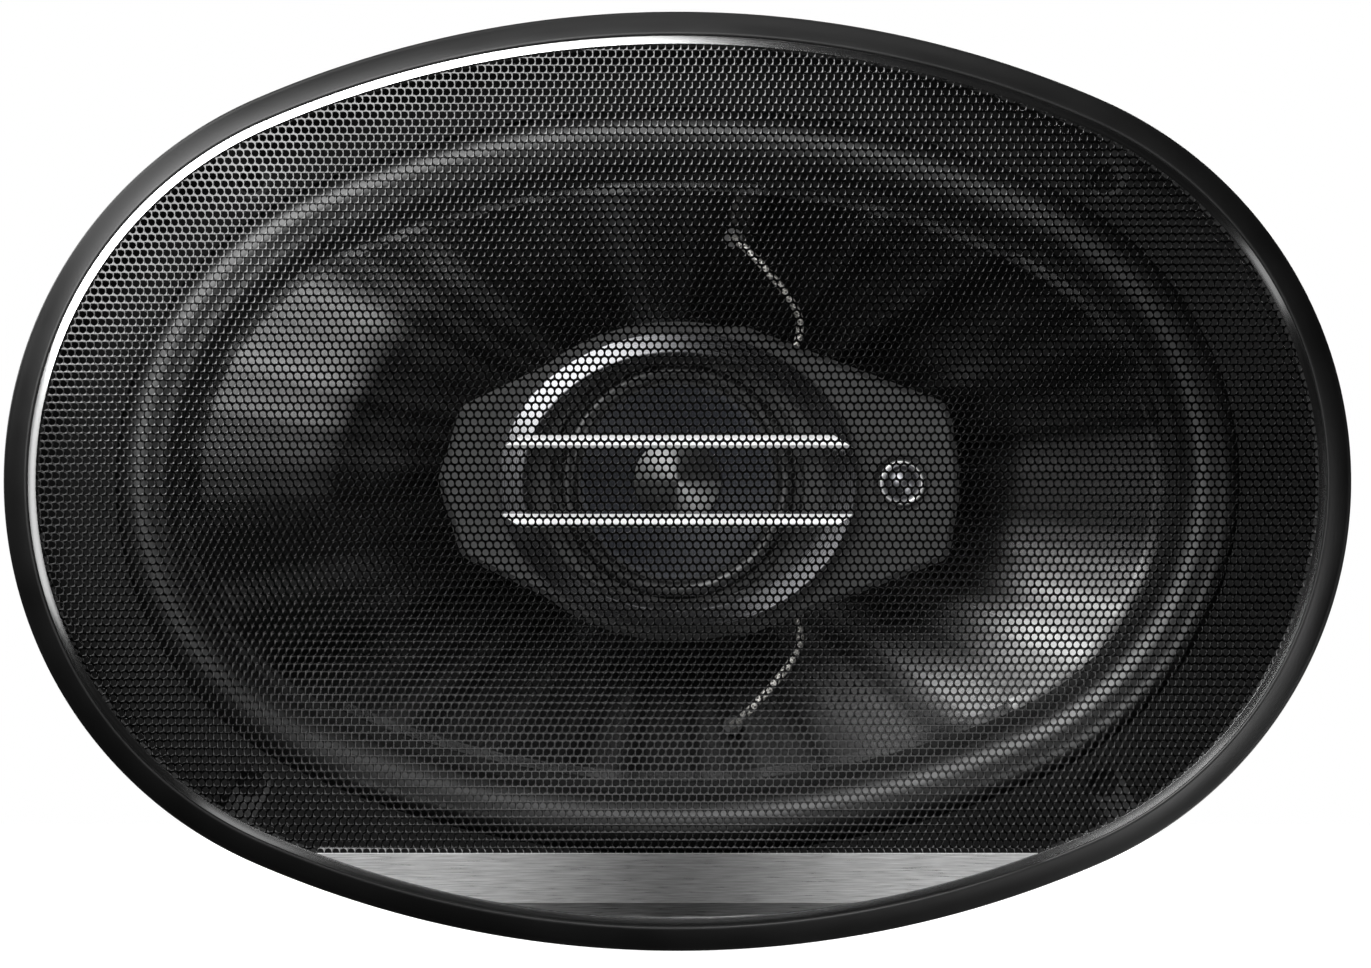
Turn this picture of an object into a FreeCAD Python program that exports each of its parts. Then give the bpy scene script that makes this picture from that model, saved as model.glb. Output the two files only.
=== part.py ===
import FreeCAD, Part
import math
import os

# Coaxial 6 x 9 inch car loudspeaker: an oval woofer with a round midrange and a small
# tweeter held in front of its cone, behind a perforated grille.
# Drawing frame, in mm: x to the right, y up, z out of the panel towards the listener.
# z = 0 is the panel face the speaker is screwed to.  Each solid is turned as it is saved,
# so that the listener is at -Y and up is +Z.

Vector = FreeCAD.Vector
CENTRE = Vector(0, 0, 0)
FORWARD = Vector(0, 0, 1)
GLUE_GAP = 0.02

# ---- mounting ----
BOLT_X = 77.0
BOLT_Y = 54.5
BOLT_HOLE_RADIUS = 2.5
BOLT_PLACES = [(BOLT_X, BOLT_Y), (-BOLT_X, BOLT_Y), (-BOLT_X, -BOLT_Y), (BOLT_X, -BOLT_Y)]

# ---- heights along z ----
GASKET_FRONT = 1.5
FLANGE_FRONT = 2.5
SURROUND_BACK = FLANGE_FRONT + GLUE_GAP
SURROUND_THICKNESS = 0.8
LIP_FRONT = SURROUND_BACK + SURROUND_THICKNESS
TRIM_FRONT = 5.8
SKIRT_BACK = -8.0
LEDGE = -38.0
SHEET = 1.2
CUP_BACK = -52.0
TOP_PLATE_BACK = -57.0
MAGNET_BACK = -73.0
YOKE_BACK = -79.0
POLE_FRONT = -50.0
NECK_BACK = -32.0
MID_BASE = -17.0
HOUSING_BACK = -6.0
HOUSING_FRONT = 8.0
GRILLE_BACK = 0.3
MESH_RIM = 15.4
MESH_RISE = 6.1
MESH_THICKNESS = 0.8

# ---- radii of the woofer's motor ----
FORMER_INNER = 12.6
FORMER_OUTER = 12.85
WINDING_INNER = FORMER_OUTER + GLUE_GAP
WINDING_OUTER = 13.4
NECK_RADIUS = 13.6
POLE_RADIUS = 12.2
PLATE_HOLE = 13.85
PLATE_RADIUS = 42.0
MAGNET_RADIUS = 45.0
MAGNET_HOLE = 17.0
POST_RADIUS = 5.0
CUP_INNER = 43.0
LEDGE_OUTER = 49.0

# ---- the midrange, on the centre line, and the tweeter beside it ----
MID_OPENING = 22.6
TWEETER_X = 40.5
TWEETER_Y = -0.3
TWEETER_CENTRE = Vector(TWEETER_X, TWEETER_Y, 0)



class Oval:
    """A closed oval of four tangent arcs: one round each end and one along each side."""

    def __init__(self, half_length, half_height, end_radius):
        self.half_length = half_length
        self.half_height = half_height
        self.end_radius = end_radius
        self.reach = half_length - end_radius
        square = self.reach ** 2 + half_height ** 2 - end_radius ** 2
        self.side_radius = square / (2 * (half_height - end_radius))
        self.join = math.degrees(math.atan2(self.side_radius - half_height, self.reach))

    def grown(self, distance):
        """The oval that runs outside this one at an even distance."""
        return Oval(self.half_length + distance, self.half_height + distance,
                    self.end_radius + distance)

    def arcs(self):
        """Centre, radius, start angle and end angle of each arc, in order."""
        drop = self.half_height - self.side_radius
        return [
            (Vector(self.reach, 0, 0), self.end_radius, -self.join, self.join),
            (Vector(0, drop, 0), self.side_radius, self.join, 180 - self.join),
            (Vector(-self.reach, 0, 0), self.end_radius, 180 - self.join, 180 + self.join),
            (Vector(0, -drop, 0), self.side_radius, 180 + self.join, 360 - self.join),
        ]

    def wire(self, z):
        edges = []
        for centre, radius, start, end in self.arcs():
            edges.append(Part.makeCircle(radius, centre + Vector(0, 0, z), FORWARD, start, end))
        return Part.Wire(edges)

    def plate(self, low, high):
        return Part.Face(self.wire(low)).extrude(Vector(0, 0, high - low))


GRILLE = Oval(121.5, 84.7, 75.1)
FLANGE = GRILLE.grown(-3.5)
CONE_EDGE = Oval(90.5, 56.5, 47.0)
ROLL_WIDTH = 11.0
CONE_TOP = CONE_EDGE.grown(-4.0)
SKIRT = CONE_EDGE.grown(ROLL_WIDTH + 0.2 + SHEET)

# ---- flat pad on the basket's wide spoke, for the terminal board and the capacitors ----
WALL_TOP = Vector(SKIRT.half_length, 0, SKIRT_BACK)
WALL_FOOT = Vector(LEDGE_OUTER, 0, LEDGE - SHEET)
PAD_MIDDLE = (WALL_TOP + WALL_FOOT) * 0.5
PAD_SLOPE = math.degrees(math.atan2(WALL_TOP.z - WALL_FOOT.z, WALL_TOP.x - WALL_FOOT.x))
PAD_HALF_LENGTH = 22.0
PAD_HALF_WIDTH = 14.8


# ---------------------------------------------------------------- drawing helpers

def on_plane(point):
    return Vector(point[0], 0, point[1])


def section(start, *steps):
    """A flat cross-section; points are (across, z).
    A step is the next point, or (through, next point) for an arc."""
    edges = []
    here = start
    for step in steps + (start,):
        if isinstance(step[0], tuple):
            through, there = step
            edges.append(Part.Arc(on_plane(here), on_plane(through), on_plane(there)).toShape())
        else:
            there = step
            edges.append(Part.makeLine(on_plane(here), on_plane(there)))
        here = there
    return Part.Face(Part.Wire(edges))


def turned(shape, centre=CENTRE):
    """A solid of revolution about a line along z."""
    face = shape.copy()
    face.translate(centre)
    return face.revolve(centre, FORWARD, 360)


def carried_round(oval, shape):
    """Carry a cross-section round an oval; its 'across' is the distance outside the oval."""
    pieces = []
    for centre, radius, start, end in oval.arcs():
        face = shape.copy()
        face.translate(Vector(radius, 0, 0))
        face.rotate(CENTRE, FORWARD, start)
        face.translate(centre)
        pieces.append(face.revolve(centre, FORWARD, end - start))
    return pieces[0].fuse(pieces[1:]).removeSplitter()


def disc(radius, low, high, centre=CENTRE):
    return Part.makeCylinder(radius, high - low, centre + Vector(0, 0, low))


def tube(inner, outer, low, high, centre=CENTRE):
    return disc(outer, low, high, centre).cut(disc(inner, low - 1, high + 1, centre))


def block(low, high):
    """A box between two corners."""
    return Part.makeBox(high[0] - low[0], high[1] - low[1], high[2] - low[2], Vector(*low))


def ellipse_plate(half_length, half_height, low, high):
    curve = Part.Ellipse(Vector(0, 0, low), half_length, half_height)
    return Part.Face(Part.Wire([curve.toShape()])).extrude(Vector(0, 0, high - low))


def split_circle(radius, z):
    """A circle in four quarters, to be joined to an oval's four arcs."""
    edges = []
    for start in (-45, 45, 135, 225):
        edges.append(Part.makeCircle(radius, Vector(0, 0, z), FORWARD, start, start + 90))
    return Part.Wire(edges)


def funnel(oval, top, radius, bottom):
    """A solid that narrows from an oval down to a circle."""
    return Part.makeLoft([oval.wire(top), split_circle(radius, bottom)], True, True)


def upright_edges(solid):
    found = []
    for edge in solid.Edges:
        ends = [vertex.Point for vertex in edge.Vertexes]
        if len(ends) == 2 and math.hypot(ends[0].x - ends[1].x, ends[0].y - ends[1].y) < 0.001:
            found.append(edge)
    return found


def dome(radius, height, thickness, base, centre=CENTRE):
    """A thin spherical cap standing on z = base."""
    sphere_radius = (radius ** 2 + height ** 2) / (2 * height)
    middle = centre + Vector(0, 0, base + height - sphere_radius)
    shell = Part.makeSphere(sphere_radius, middle)
    shell = shell.cut(Part.makeSphere(sphere_radius - thickness, middle))
    return shell.common(disc(radius + 1, base, base + height + 1, centre))


def flipped(shape):
    """The same piece on the other side of the long axis."""
    return shape.mirror(CENTRE, Vector(0, 1, 0))


def save(name, shape):
    placed = shape.copy()
    placed.rotate(CENTRE, Vector(1, 0, 0), 90)
    placed.exportStep("parts/" + name + ".step")


# ---------------------------------------------------------------- grille

def domed_sheet(thickness, raised):
    """The grille's sheet: a flat rim, then a crown that levels out in the middle."""
    crown_edge = 62.0
    rim_edge = 5.8
    sheet_edge = 3.4
    span = crown_edge - rim_edge
    radius = (span ** 2 + MESH_RISE ** 2) / (2 * MESH_RISE)
    half_span_drop = radius - math.sqrt(radius ** 2 - (span / 2) ** 2)
    top = MESH_RIM + MESH_RISE + raised
    rim = MESH_RIM + raised
    front_middle = (-crown_edge + span / 2, top - half_span_drop)
    back_middle = (front_middle[0], front_middle[1] - thickness)
    border = carried_round(GRILLE, section(
        (-sheet_edge, rim - thickness),
        (-sheet_edge, rim),
        (-rim_edge, rim),
        (front_middle, (-crown_edge, top)),
        (-crown_edge, top - thickness),
        (back_middle, (-rim_edge, rim - thickness)),
    ))
    middle = GRILLE.grown(-crown_edge).plate(top - thickness, top)
    return border.fuse(middle).removeSplitter()


def grille_mesh():
    return domed_sheet(MESH_THICKNESS, 0)


def grille_frame():
    """Black outer frame with eight pads that grip the edge of the flange."""
    wall = 1.8
    shoulder = 13.4
    brow = 16.05
    seat = MESH_RIM - MESH_THICKNESS - GLUE_GAP
    slot = MESH_RIM + GLUE_GAP
    frame = carried_round(GRILLE, section(
        (0, GRILLE_BACK),
        (0, shoulder - 0.5),
        ((-0.13, shoulder - 0.12), (-0.45, shoulder + 0.1)),
        ((-2.2, shoulder + 1.6), (-3.9, brow)),
        (-4.3, brow),
        (-4.3, slot),
        (-3.3, slot),
        (-3.3, seat),
        (-6.4, seat),
        (-6.4, seat - 1.0),
        (-wall, seat - 3.0),
        (-wall, GRILLE_BACK),
    ))
    pad_ring = GRILLE.grown(-wall + 0.2).plate(0.6, 7.0).cut(GRILLE.grown(-3.2).plate(0, 8))
    for angle in (0, 35, 90, 145, 180, 215, 270, 325):
        strip = block((60, -6, 0), (130, 6, 8))
        strip.rotate(CENTRE, FORWARD, angle)
        frame = frame.fuse(pad_ring.common(strip))
    return frame


def grille_trim_ring():
    """Satin ring on the sheet inside the frame, bevelled down towards the frame."""
    low = MESH_RIM + GLUE_GAP
    return carried_round(GRILLE, section((-4.32, low), (-4.32, 15.75), (-5.75, 16.2), (-5.75, low)))


def name_plate():
    """Blank brushed plate with a flat tilted front, bevelled below a level crease."""
    top_edge = -67.0
    crease = -76.0
    crease_front = 16.9
    plate = GRILLE.grown(-5.8).plate(MESH_RIM - 1, MESH_RIM + 8)
    plate = plate.common(block((-80, -90, 0), (80, top_edge, 30)))
    plate = plate.cut(domed_sheet(4, GLUE_GAP))
    for tilt, low, high in ((10.5, -6, 14), (22, -10, 0)):
        above = Part.makeBox(160, high - low, 8, Vector(-80, low, 0))
        above.rotate(CENTRE, Vector(1, 0, 0), tilt)
        above.translate(Vector(0, crease, crease_front))
        plate = plate.cut(above)
    return plate.removeSplitter()


# ---------------------------------------------------------------- flange and basket

def bolt_holes(radius, low, high):
    holes = [disc(radius, low, high, Vector(x, y, 0)) for x, y in BOLT_PLACES]
    return Part.Compound(holes)


def rear_gasket():
    """Foam seal behind the flange.  The screws pierce it as they are driven."""
    ring = FLANGE.grown(-0.6).plate(0, GASKET_FRONT).cut(FLANGE.grown(-8.0).plate(-1, 3))
    pads = bolt_holes(7.0, 0, GASKET_FRONT)
    ring = ring.fuse(pads.Solids).common(FLANGE.grown(-0.6).plate(0, GASKET_FRONT))
    ring = ring.cut(SKIRT.grown(0.4).plate(-1, 3))
    return ring.removeSplitter()


def front_gasket():
    """Rubber trim on the flange, with a U-shaped notch over each screw hole."""
    ring = FLANGE.grown(-1.2).plate(FLANGE_FRONT, TRIM_FRONT)
    ring = ring.cut(CONE_EDGE.grown(ROLL_WIDTH).plate(0, 10))
    ring = ring.cut(CONE_EDGE.grown(14.7).plate(0, LIP_FRONT + GLUE_GAP))
    notch_radius = 3.6
    for x, y in BOLT_PLACES:
        slot = block((0, -notch_radius, 0), (20, notch_radius, 10))
        slot = slot.fuse(disc(notch_radius, 0, 10))
        lean = math.degrees(math.atan2(abs(y), abs(x) - GRILLE.reach))
        slot.rotate(CENTRE, FORWARD, lean)
        if x < 0:
            slot = slot.mirror(CENTRE, Vector(1, 0, 0))
        if y < 0:
            slot = slot.mirror(CENTRE, Vector(0, 1, 0))
        slot.translate(Vector(x, y, 0))
        ring = ring.cut(slot)
    return ring


def basket_shell():
    """Pressed-steel skin: flange, skirt, sloping wall, spider ledge and rear cup."""
    inner = SKIRT.grown(-SHEET)
    pad = on_pad(block((-PAD_HALF_LENGTH, -PAD_HALF_WIDTH, -4), (PAD_HALF_LENGTH, PAD_HALF_WIDTH, 0)))
    body = FLANGE.plate(GASKET_FRONT, FLANGE_FRONT)
    body = body.fuse(SKIRT.plate(SKIRT_BACK, GASKET_FRONT))
    body = body.fuse(funnel(SKIRT, SKIRT_BACK, LEDGE_OUTER, LEDGE - SHEET)).fuse(pad)
    body = body.fuse(disc(CUP_INNER + SHEET, CUP_BACK, LEDGE - SHEET))
    body = body.cut(inner.plate(SKIRT_BACK, FLANGE_FRONT + 1))
    body = body.cut(funnel(inner, SKIRT_BACK, LEDGE_OUTER - SHEET, LEDGE))
    body = body.cut(disc(CUP_INNER, CUP_BACK + 1.0, LEDGE + 1))
    return body.cut(disc(20.0, CUP_BACK - 1, LEDGE))


def basket_windows():
    """Eight openings in the sloping wall, seen along z, between as many spokes."""
    spokes = [(0, 15.0), (38, 6.0), (90, 7.0), (142, 6.0), (180, 9.0), (218, 6.0), (270, 7.0),
              (322, 6.0)]
    opening = CONE_EDGE.grown(ROLL_WIDTH - 4.5).plate(LEDGE, SKIRT_BACK - 1)
    opening = opening.cut(disc(LEDGE_OUTER + 3.5, LEDGE - 1, 0))
    for angle, half_width in spokes:
        spoke = block((0, -half_width, LEDGE - 1), (130, half_width, 0))
        spoke.rotate(CENTRE, FORWARD, angle)
        opening = opening.cut(spoke)
    return [window.makeFillet(1.6, upright_edges(window)) for window in opening.Solids]


RIVET_PLACES = [Vector(36 * math.cos(math.radians(a)), 36 * math.sin(math.radians(a)), 0)
                for a in (45, 135, 225, 315)]
BOARD_RIVETS = [-10.5, 10.5]


LEAD_PINS = [-5.0, 5.0]


def on_pad(shape):
    """Place a shape drawn flat, with +z pointing away from the basket, on the wide spoke."""
    placed = shape.copy()
    placed.rotate(CENTRE, Vector(0, 1, 0), 180 - PAD_SLOPE)
    placed.translate(PAD_MIDDLE)
    return placed


def basket():
    body = basket_shell()
    for window in basket_windows():
        body = body.cut(window)
    body = body.cut(bolt_holes(BOLT_HOLE_RADIUS, 0, 4))
    for place in RIVET_PLACES:
        body = body.cut(disc(1.7, CUP_BACK - 1, CUP_BACK + 2, place))
    for y in BOARD_RIVETS:
        body = body.cut(on_pad(disc(1.3, -6, 4, Vector(0, y, 0))))
    for y in LEAD_PINS:
        body = body.cut(on_pad(disc(3.4, -6, 4, Vector(0, y, 0))))
    return body


def basket_rivets():
    rivets = []
    for place in RIVET_PLACES:
        head = disc(3.0, CUP_BACK + 1.0, CUP_BACK + 2.4, place)
        shank = disc(1.6, TOP_PLATE_BACK + 0.5, CUP_BACK + 1.0, place)
        rivets.append(head.fuse(shank))
    return Part.Compound(rivets)


# ---------------------------------------------------------------- woofer's moving parts

def surround():
    """Half-roll rubber edge, glued to the cone inside and to the flange outside."""
    back = SURROUND_BACK
    front = LIP_FRONT
    middle = ROLL_WIDTH / 2
    crest = front + 5.0
    thickness = SURROUND_THICKNESS
    lip_width = 2.2
    return carried_round(CONE_EDGE, section(
        (14.5, back),
        (14.5, front),
        (ROLL_WIDTH, front),
        ((middle, crest), (0, front)),
        (-lip_width, front),
        (-lip_width, back),
        (thickness, back),
        ((middle, crest - thickness), (ROLL_WIDTH - thickness, back)),
    ))


def cone():
    """Thin oval cone with a flat rim under the surround and a collar round the former."""
    thickness = 0.9
    rim_back = FLANGE_FRONT - thickness
    solid = funnel(CONE_TOP, rim_back, NECK_RADIUS, NECK_BACK)
    solid = solid.fuse(CONE_TOP.plate(rim_back, FLANGE_FRONT))
    hollow = funnel(CONE_TOP, rim_back, NECK_RADIUS, NECK_BACK)
    hollow.translate(Vector(0, 0, thickness))
    wall = solid.cut(hollow)
    rim = CONE_EDGE.grown(-0.3).plate(rim_back, FLANGE_FRONT)
    rim = rim.cut(CONE_EDGE.grown(-4.5).plate(0, 4))
    collar = disc(NECK_RADIUS, NECK_BACK - 1.2, NECK_BACK + 1.0)
    body = wall.fuse([rim, collar]).cut(disc(FORMER_OUTER + GLUE_GAP, -40, -20))
    for place, _ in EYELETS:
        body = body.cut(disc(0.95, -15, 4, place))
    return body


def spider():
    """Corrugated fabric disc that keeps the coil centred."""
    thickness = 0.5
    height = 1.5
    inner_flat = FORMER_OUTER + GLUE_GAP
    first = 16.0
    half_wave = 3.3
    waves = 8
    last = first + half_wave * waves
    base = LEDGE + GLUE_GAP
    upper = []
    lower = []
    for index in range(waves):
        near = first + half_wave * index
        side = height if index % 2 == 0 else -height
        upper.append(((near + half_wave / 2, base + thickness + side),
                      (near + half_wave, base + thickness)))
        lower.append(((near + half_wave / 2, base + side), (near, base)))
    outline = [(inner_flat, base + thickness), (first, base + thickness)] + upper
    outline += [(47.3, base + thickness), (47.3, base), (last, base)] + lower[::-1]
    return turned(section((inner_flat, base), *outline))


def voice_coil_former():
    return tube(FORMER_INNER, FORMER_OUTER, -61.0, NECK_BACK + 1.5)


def voice_coil():
    return tube(WINDING_INNER, WINDING_OUTER, -60.5, -48.5)


# ---------------------------------------------------------------- woofer's motor

def top_plate():
    plate = tube(PLATE_HOLE, PLATE_RADIUS, TOP_PLATE_BACK, CUP_BACK)
    for place in RIVET_PLACES:
        plate = plate.cut(disc(1.7, TOP_PLATE_BACK + 0.4, CUP_BACK + 1, place))
    return plate


def magnet():
    chamfer = 0.8
    back = MAGNET_BACK
    front = TOP_PLATE_BACK
    return turned(section(
        (MAGNET_HOLE, back),
        (MAGNET_RADIUS - chamfer, back),
        (MAGNET_RADIUS, back + chamfer),
        (MAGNET_RADIUS, front - chamfer),
        (MAGNET_RADIUS - chamfer, front),
        (MAGNET_HOLE, front),
    ))


def yoke():
    """Back plate and pole in one piece, bored for the screw that holds the centre post."""
    bore = 3.2
    recess = 6.5
    recess_depth = 4.5
    return turned(section(
        (bore, YOKE_BACK + recess_depth),
        (recess, YOKE_BACK + recess_depth),
        (recess, YOKE_BACK),
        (PLATE_RADIUS - 1.5, YOKE_BACK),
        (PLATE_RADIUS, YOKE_BACK + 1.5),
        (PLATE_RADIUS, MAGNET_BACK),
        (POLE_RADIUS, MAGNET_BACK),
        (POLE_RADIUS, POLE_FRONT - 0.8),
        (POLE_RADIUS - 0.8, POLE_FRONT),
        (bore, POLE_FRONT),
    ))


def post_screw():
    """Socket-headed screw up through the pole into the centre post."""
    seat = YOKE_BACK + 4.5
    head = disc(5.5, seat - 4.0, seat)
    shank = disc(2.95, seat, POLE_FRONT + 9.0)
    socket = Part.makePolygon([Vector(2.6 * math.cos(math.radians(60 * corner)),
                                      2.6 * math.sin(math.radians(60 * corner)),
                                      seat - 5.0) for corner in range(7)])
    socket = Part.Face(Part.Wire(socket.Edges)).extrude(Vector(0, 0, 3.4))
    return head.fuse(shank).cut(socket)


def centre_post():
    post = disc(POST_RADIUS, POLE_FRONT, MID_BASE)
    post = post.fuse(disc(7.5, POLE_FRONT, POLE_FRONT + 2.5))
    post = post.cut(disc(2.97, POLE_FRONT - 1, POLE_FRONT + 10.0))
    return post.removeSplitter()


# ---------------------------------------------------------------- centre housing

def housing_outline(low, high):
    """An ellipse round the midrange crossed by a long hexagon that carries the tweeter."""
    corners = [(50.85, 3.0), (49.0, 14.0), (12.0, 28.0), (-12.0, 26.5), (-39.0, 13.6), (-43.3, 0),
               (-39.0, -13.6), (-12.0, -26.5), (12.0, -28.0), (49.0, -14.0), (50.85, -3.0)]
    points = [Vector(x, y, low) for x, y in corners]
    face = Part.Face(Part.makePolygon(points + [points[0]]))
    wings = face.extrude(Vector(0, 0, high - low))
    sharp = [edge for edge in upright_edges(wings)
             if 38 < abs(edge.Vertexes[0].X) < 49.5 and abs(edge.Vertexes[0].Y) > 10]
    wings = wings.makeFillet(3.5, sharp)
    return wings.fuse(ellipse_plate(34.5, 28.8, low, high)).removeSplitter()


def housing():
    body = housing_outline(HOUSING_BACK, HOUSING_FRONT)
    rim = [edge for edge in body.Edges
           if all(abs(vertex.Z - HOUSING_FRONT) < 0.001 for vertex in edge.Vertexes)]
    body = body.makeChamfer(1.0, rim)
    body = body.cut(disc(20.6, HOUSING_BACK - 1, 5))
    body = body.cut(disc(MID_OPENING + 0.4, 4.5, HOUSING_FRONT + 1))
    body = body.cut(disc(4.65, HOUSING_BACK - 1, 7, TWEETER_CENTRE))
    body = body.cut(disc(5.15, 6.0, HOUSING_FRONT + 1, TWEETER_CENTRE))
    return body


# ---------------------------------------------------------------- midrange

def mid_trim_ring():
    """Oval bezel round the midrange, sloping in to the cone and out to the housing."""
    base = HOUSING_FRONT
    shoulder = 11.6
    crest = 13.2

    def ellipse(half_length, half_height, z):
        return Part.Wire([Part.Ellipse(Vector(0, 0, z), half_length, half_height).toShape()])

    wall = Part.makeLoft([ellipse(32.6, 27.1, base), ellipse(32.2, 26.8, shoulder)], True, True)
    brow = Part.makeLoft([ellipse(32.2, 26.8, shoulder), ellipse(28.1, 23.5, crest)], True, True)
    inside = Part.makeLoft([ellipse(26.3, 21.9, base - 2), ellipse(28.0, 23.4, crest + 1)],
                           True, True)
    bezel = wall.fuse(brow).cut(inside).removeSplitter()
    for y in BAR_PLACES:
        notch = block((-40, y - BAR_HEIGHT / 2 - 0.05, BAR_FOOT - GLUE_GAP),
                      (40, y + BAR_HEIGHT / 2 + 0.05, BAR_FRONT))
        bezel = bezel.cut(notch)
    return bezel


BAR_FRONT = 14.6
BAR_FOOT = 10.4
BAR_HEIGHT = 2.4
BAR_PLACES = (-7.1, 7.1)
BAR_HALF_LENGTH = 32.2
BAR_SHORT_HALF = 28.2


def mid_bars():
    """Two bevelled bars let into the bezel, their ends pointed and sloping to its rim."""
    bars = []
    low = BAR_FRONT - 2.2
    for y in BAR_PLACES:
        side = section(
            (-BAR_HALF_LENGTH, BAR_FOOT),
            (-BAR_HALF_LENGTH + 0.8, BAR_FRONT),
            (BAR_HALF_LENGTH - 0.8, BAR_FRONT),
            (BAR_HALF_LENGTH, BAR_FOOT),
            (BAR_HALF_LENGTH - 5.0, BAR_FOOT),
            (BAR_HALF_LENGTH - 7.0, low),
            (-BAR_HALF_LENGTH + 7.0, low),
            (-BAR_HALF_LENGTH + 5.0, BAR_FOOT),
        )
        bar = side.extrude(Vector(0, BAR_HEIGHT, 0))
        bar.translate(Vector(0, y - BAR_HEIGHT / 2, 0))
        edges = [edge for edge in bar.Edges
                 if all(abs(vertex.Z - BAR_FRONT) < 0.001 for vertex in edge.Vertexes)
                 and edge.Length > BAR_HEIGHT + 1]
        bar = bar.makeChamfer(0.6, edges)
        outer = y + math.copysign(BAR_HEIGHT / 2, y)
        inner = y - math.copysign(BAR_HEIGHT / 2, y)
        for side in (-1, 1):
            point = [(side * BAR_SHORT_HALF, outer), (side * (BAR_HALF_LENGTH - 0.3), inner),
                     (side * 36, inner), (side * 36, 1.2 * outer),
                     (side * BAR_SHORT_HALF, 1.2 * outer)]
            corners = [Vector(x, y_place, BAR_FOOT - 1) for x, y_place in point]
            wedge = Part.Face(Part.makePolygon(corners + [corners[0]]))
            bar = bar.cut(wedge.extrude(Vector(0, 0, 8)))
        bars.append(bar)
    return Part.Compound(bars)


def mid_frame():
    """Small round basket that seats in the housing and on the midrange magnet cup."""
    flange_back = 4.5 + GLUE_GAP
    return turned(section(
        (10.55, -12.0),
        (11.4, -12.0),
        (20.3, flange_back),
        (22.6, flange_back),
        (22.6, 5.3),
        (20.0, 5.3),
        (11.0, -10.6),
        (10.55, -10.6),
    ))


def mid_surround():
    """Half-roll edge of the midrange cone."""
    back = 5.3 + GLUE_GAP
    return turned(section(
        (17.6, back), (18.3, back), ((19.7, back + 1.3), (21.1, back)), (22.5, back),
        (22.5, back + 0.3), (21.3, back + 0.3), ((19.7, back + 1.7), (18.1, back + 0.3)),
        (17.6, back + 0.3),
    ))


def mid_cone():
    return turned(section(
        (7.4, -1.4), (7.8, -1.4), (17.0, 4.7), (18.2, 4.9), (18.2, 5.3), (16.9, 5.2), (7.4, -1.0),
    ))


def mid_dust_cap():
    """Shallow metal dome over the midrange coil."""
    return dome(7.9, 3.6, 0.35, -0.2)


def mid_voice_coil():
    former = tube(7.15, 7.38, -12.2, -0.4)
    return former.fuse(tube(7.3, 7.85, -12.0, -8.0)).removeSplitter()


def mid_yoke():
    cup = disc(10.5, MID_BASE, -8.6).cut(disc(8.4, MID_BASE + 2.0, -8))
    return cup


def mid_magnet():
    return disc(6.3, MID_BASE + 2.0, -11.2)


def mid_top_plate():
    return disc(6.6, -11.2, -8.8)


# ---------------------------------------------------------------- tweeter

def tweeter_case():
    cup = disc(4.6, -5.0, 6.4, TWEETER_CENTRE).cut(disc(3.2, -3.8, 7, TWEETER_CENTRE))
    rim = tube(4.4, 5.1, 6.0 + GLUE_GAP, 6.4, TWEETER_CENTRE)
    return cup.fuse(rim).removeSplitter()


def tweeter_magnet():
    return disc(2.0, -3.8, 2.6, TWEETER_CENTRE)


def tweeter_pole_plate():
    return disc(2.05, 2.6, 4.0, TWEETER_CENTRE)


def tweeter_voice_coil():
    return tube(2.4, 2.8, 1.6, 6.6, TWEETER_CENTRE)


def tweeter_suspension():
    return tube(2.82, 4.2, 6.42, 6.6, TWEETER_CENTRE)


def tweeter_ring():
    """Bright ring that clamps the suspension."""
    base = 6.6 + GLUE_GAP
    return turned(section((3.1, base), (4.2, base), (4.2, 7.4), (3.9, 7.8), (3.5, 7.8), (3.1, 7.3)),
                  TWEETER_CENTRE)


def tweeter_dome():
    return dome(2.8, 1.5, 0.2, 6.62, TWEETER_CENTRE)


# ---------------------------------------------------------------- leads and terminals

EYELETS = [(Vector(10.0, 44.0, 0), -4.3), (Vector(10.0, -44.0, 0), -4.3)]
EYELET_HEAD = 1.7
EYELET_TOP = 2.3
FRONT_LEAD_RADIUS = 0.7
REAR_LEAD_RADIUS = 0.6


def smooth_path(points):
    """Straight runs from point to point, joined by arcs that touch both runs."""
    edges = []
    here = points[0]
    for before, corner, after in zip(points, points[1:], points[2:]):
        back = before - corner
        ahead = after - corner
        reach = 0.45 * min(back.Length, ahead.Length)
        half_turn = (math.pi - back.getAngle(ahead)) / 2
        back.normalize()
        ahead.normalize()
        inward = back + ahead
        inward.normalize()
        radius = reach / math.tan(half_turn)
        middle = corner + inward * (radius / math.cos(half_turn) - radius)
        edges.append(Part.LineSegment(here, corner + back * reach).toShape())
        edges.append(Part.Arc(corner + back * reach, middle, corner + ahead * reach).toShape())
        here = corner + ahead * reach
        print("bend radius", round(radius, 2))
    edges.append(Part.LineSegment(here, points[-1]).toShape())
    return Part.Wire(edges)


def cord(points, radius):
    """A round cord along a smooth path."""
    path = smooth_path(points)
    profile = Part.Wire([Part.makeCircle(radius, points[0], points[1] - points[0])])
    solid = path.makePipeShell([profile], True, True)
    print("cord length", round(path.Length, 2), "volume", round(solid.Volume, 2),
          "section times length", round(math.pi * radius ** 2 * path.Length, 2))
    return solid


def front_lead():
    """Braided lead out of the housing's side, over in a loop and down into an eyelet."""
    place, height = EYELETS[0]
    ahead = Vector(0.354, 0.935, 0)
    start = Vector(21.4, 24.46, 2.0) + ahead * GLUE_GAP
    end = place + Vector(0, 0, height + EYELET_TOP + GLUE_GAP)
    return cord([
        start,
        start + ahead * 3.8,
        Vector(20.5, 33.0, 6.5),
        Vector(13.5, 41.0, 6.8),
        end + Vector(0, 0, 5.2),
        end,
    ], FRONT_LEAD_RADIUS)


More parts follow.
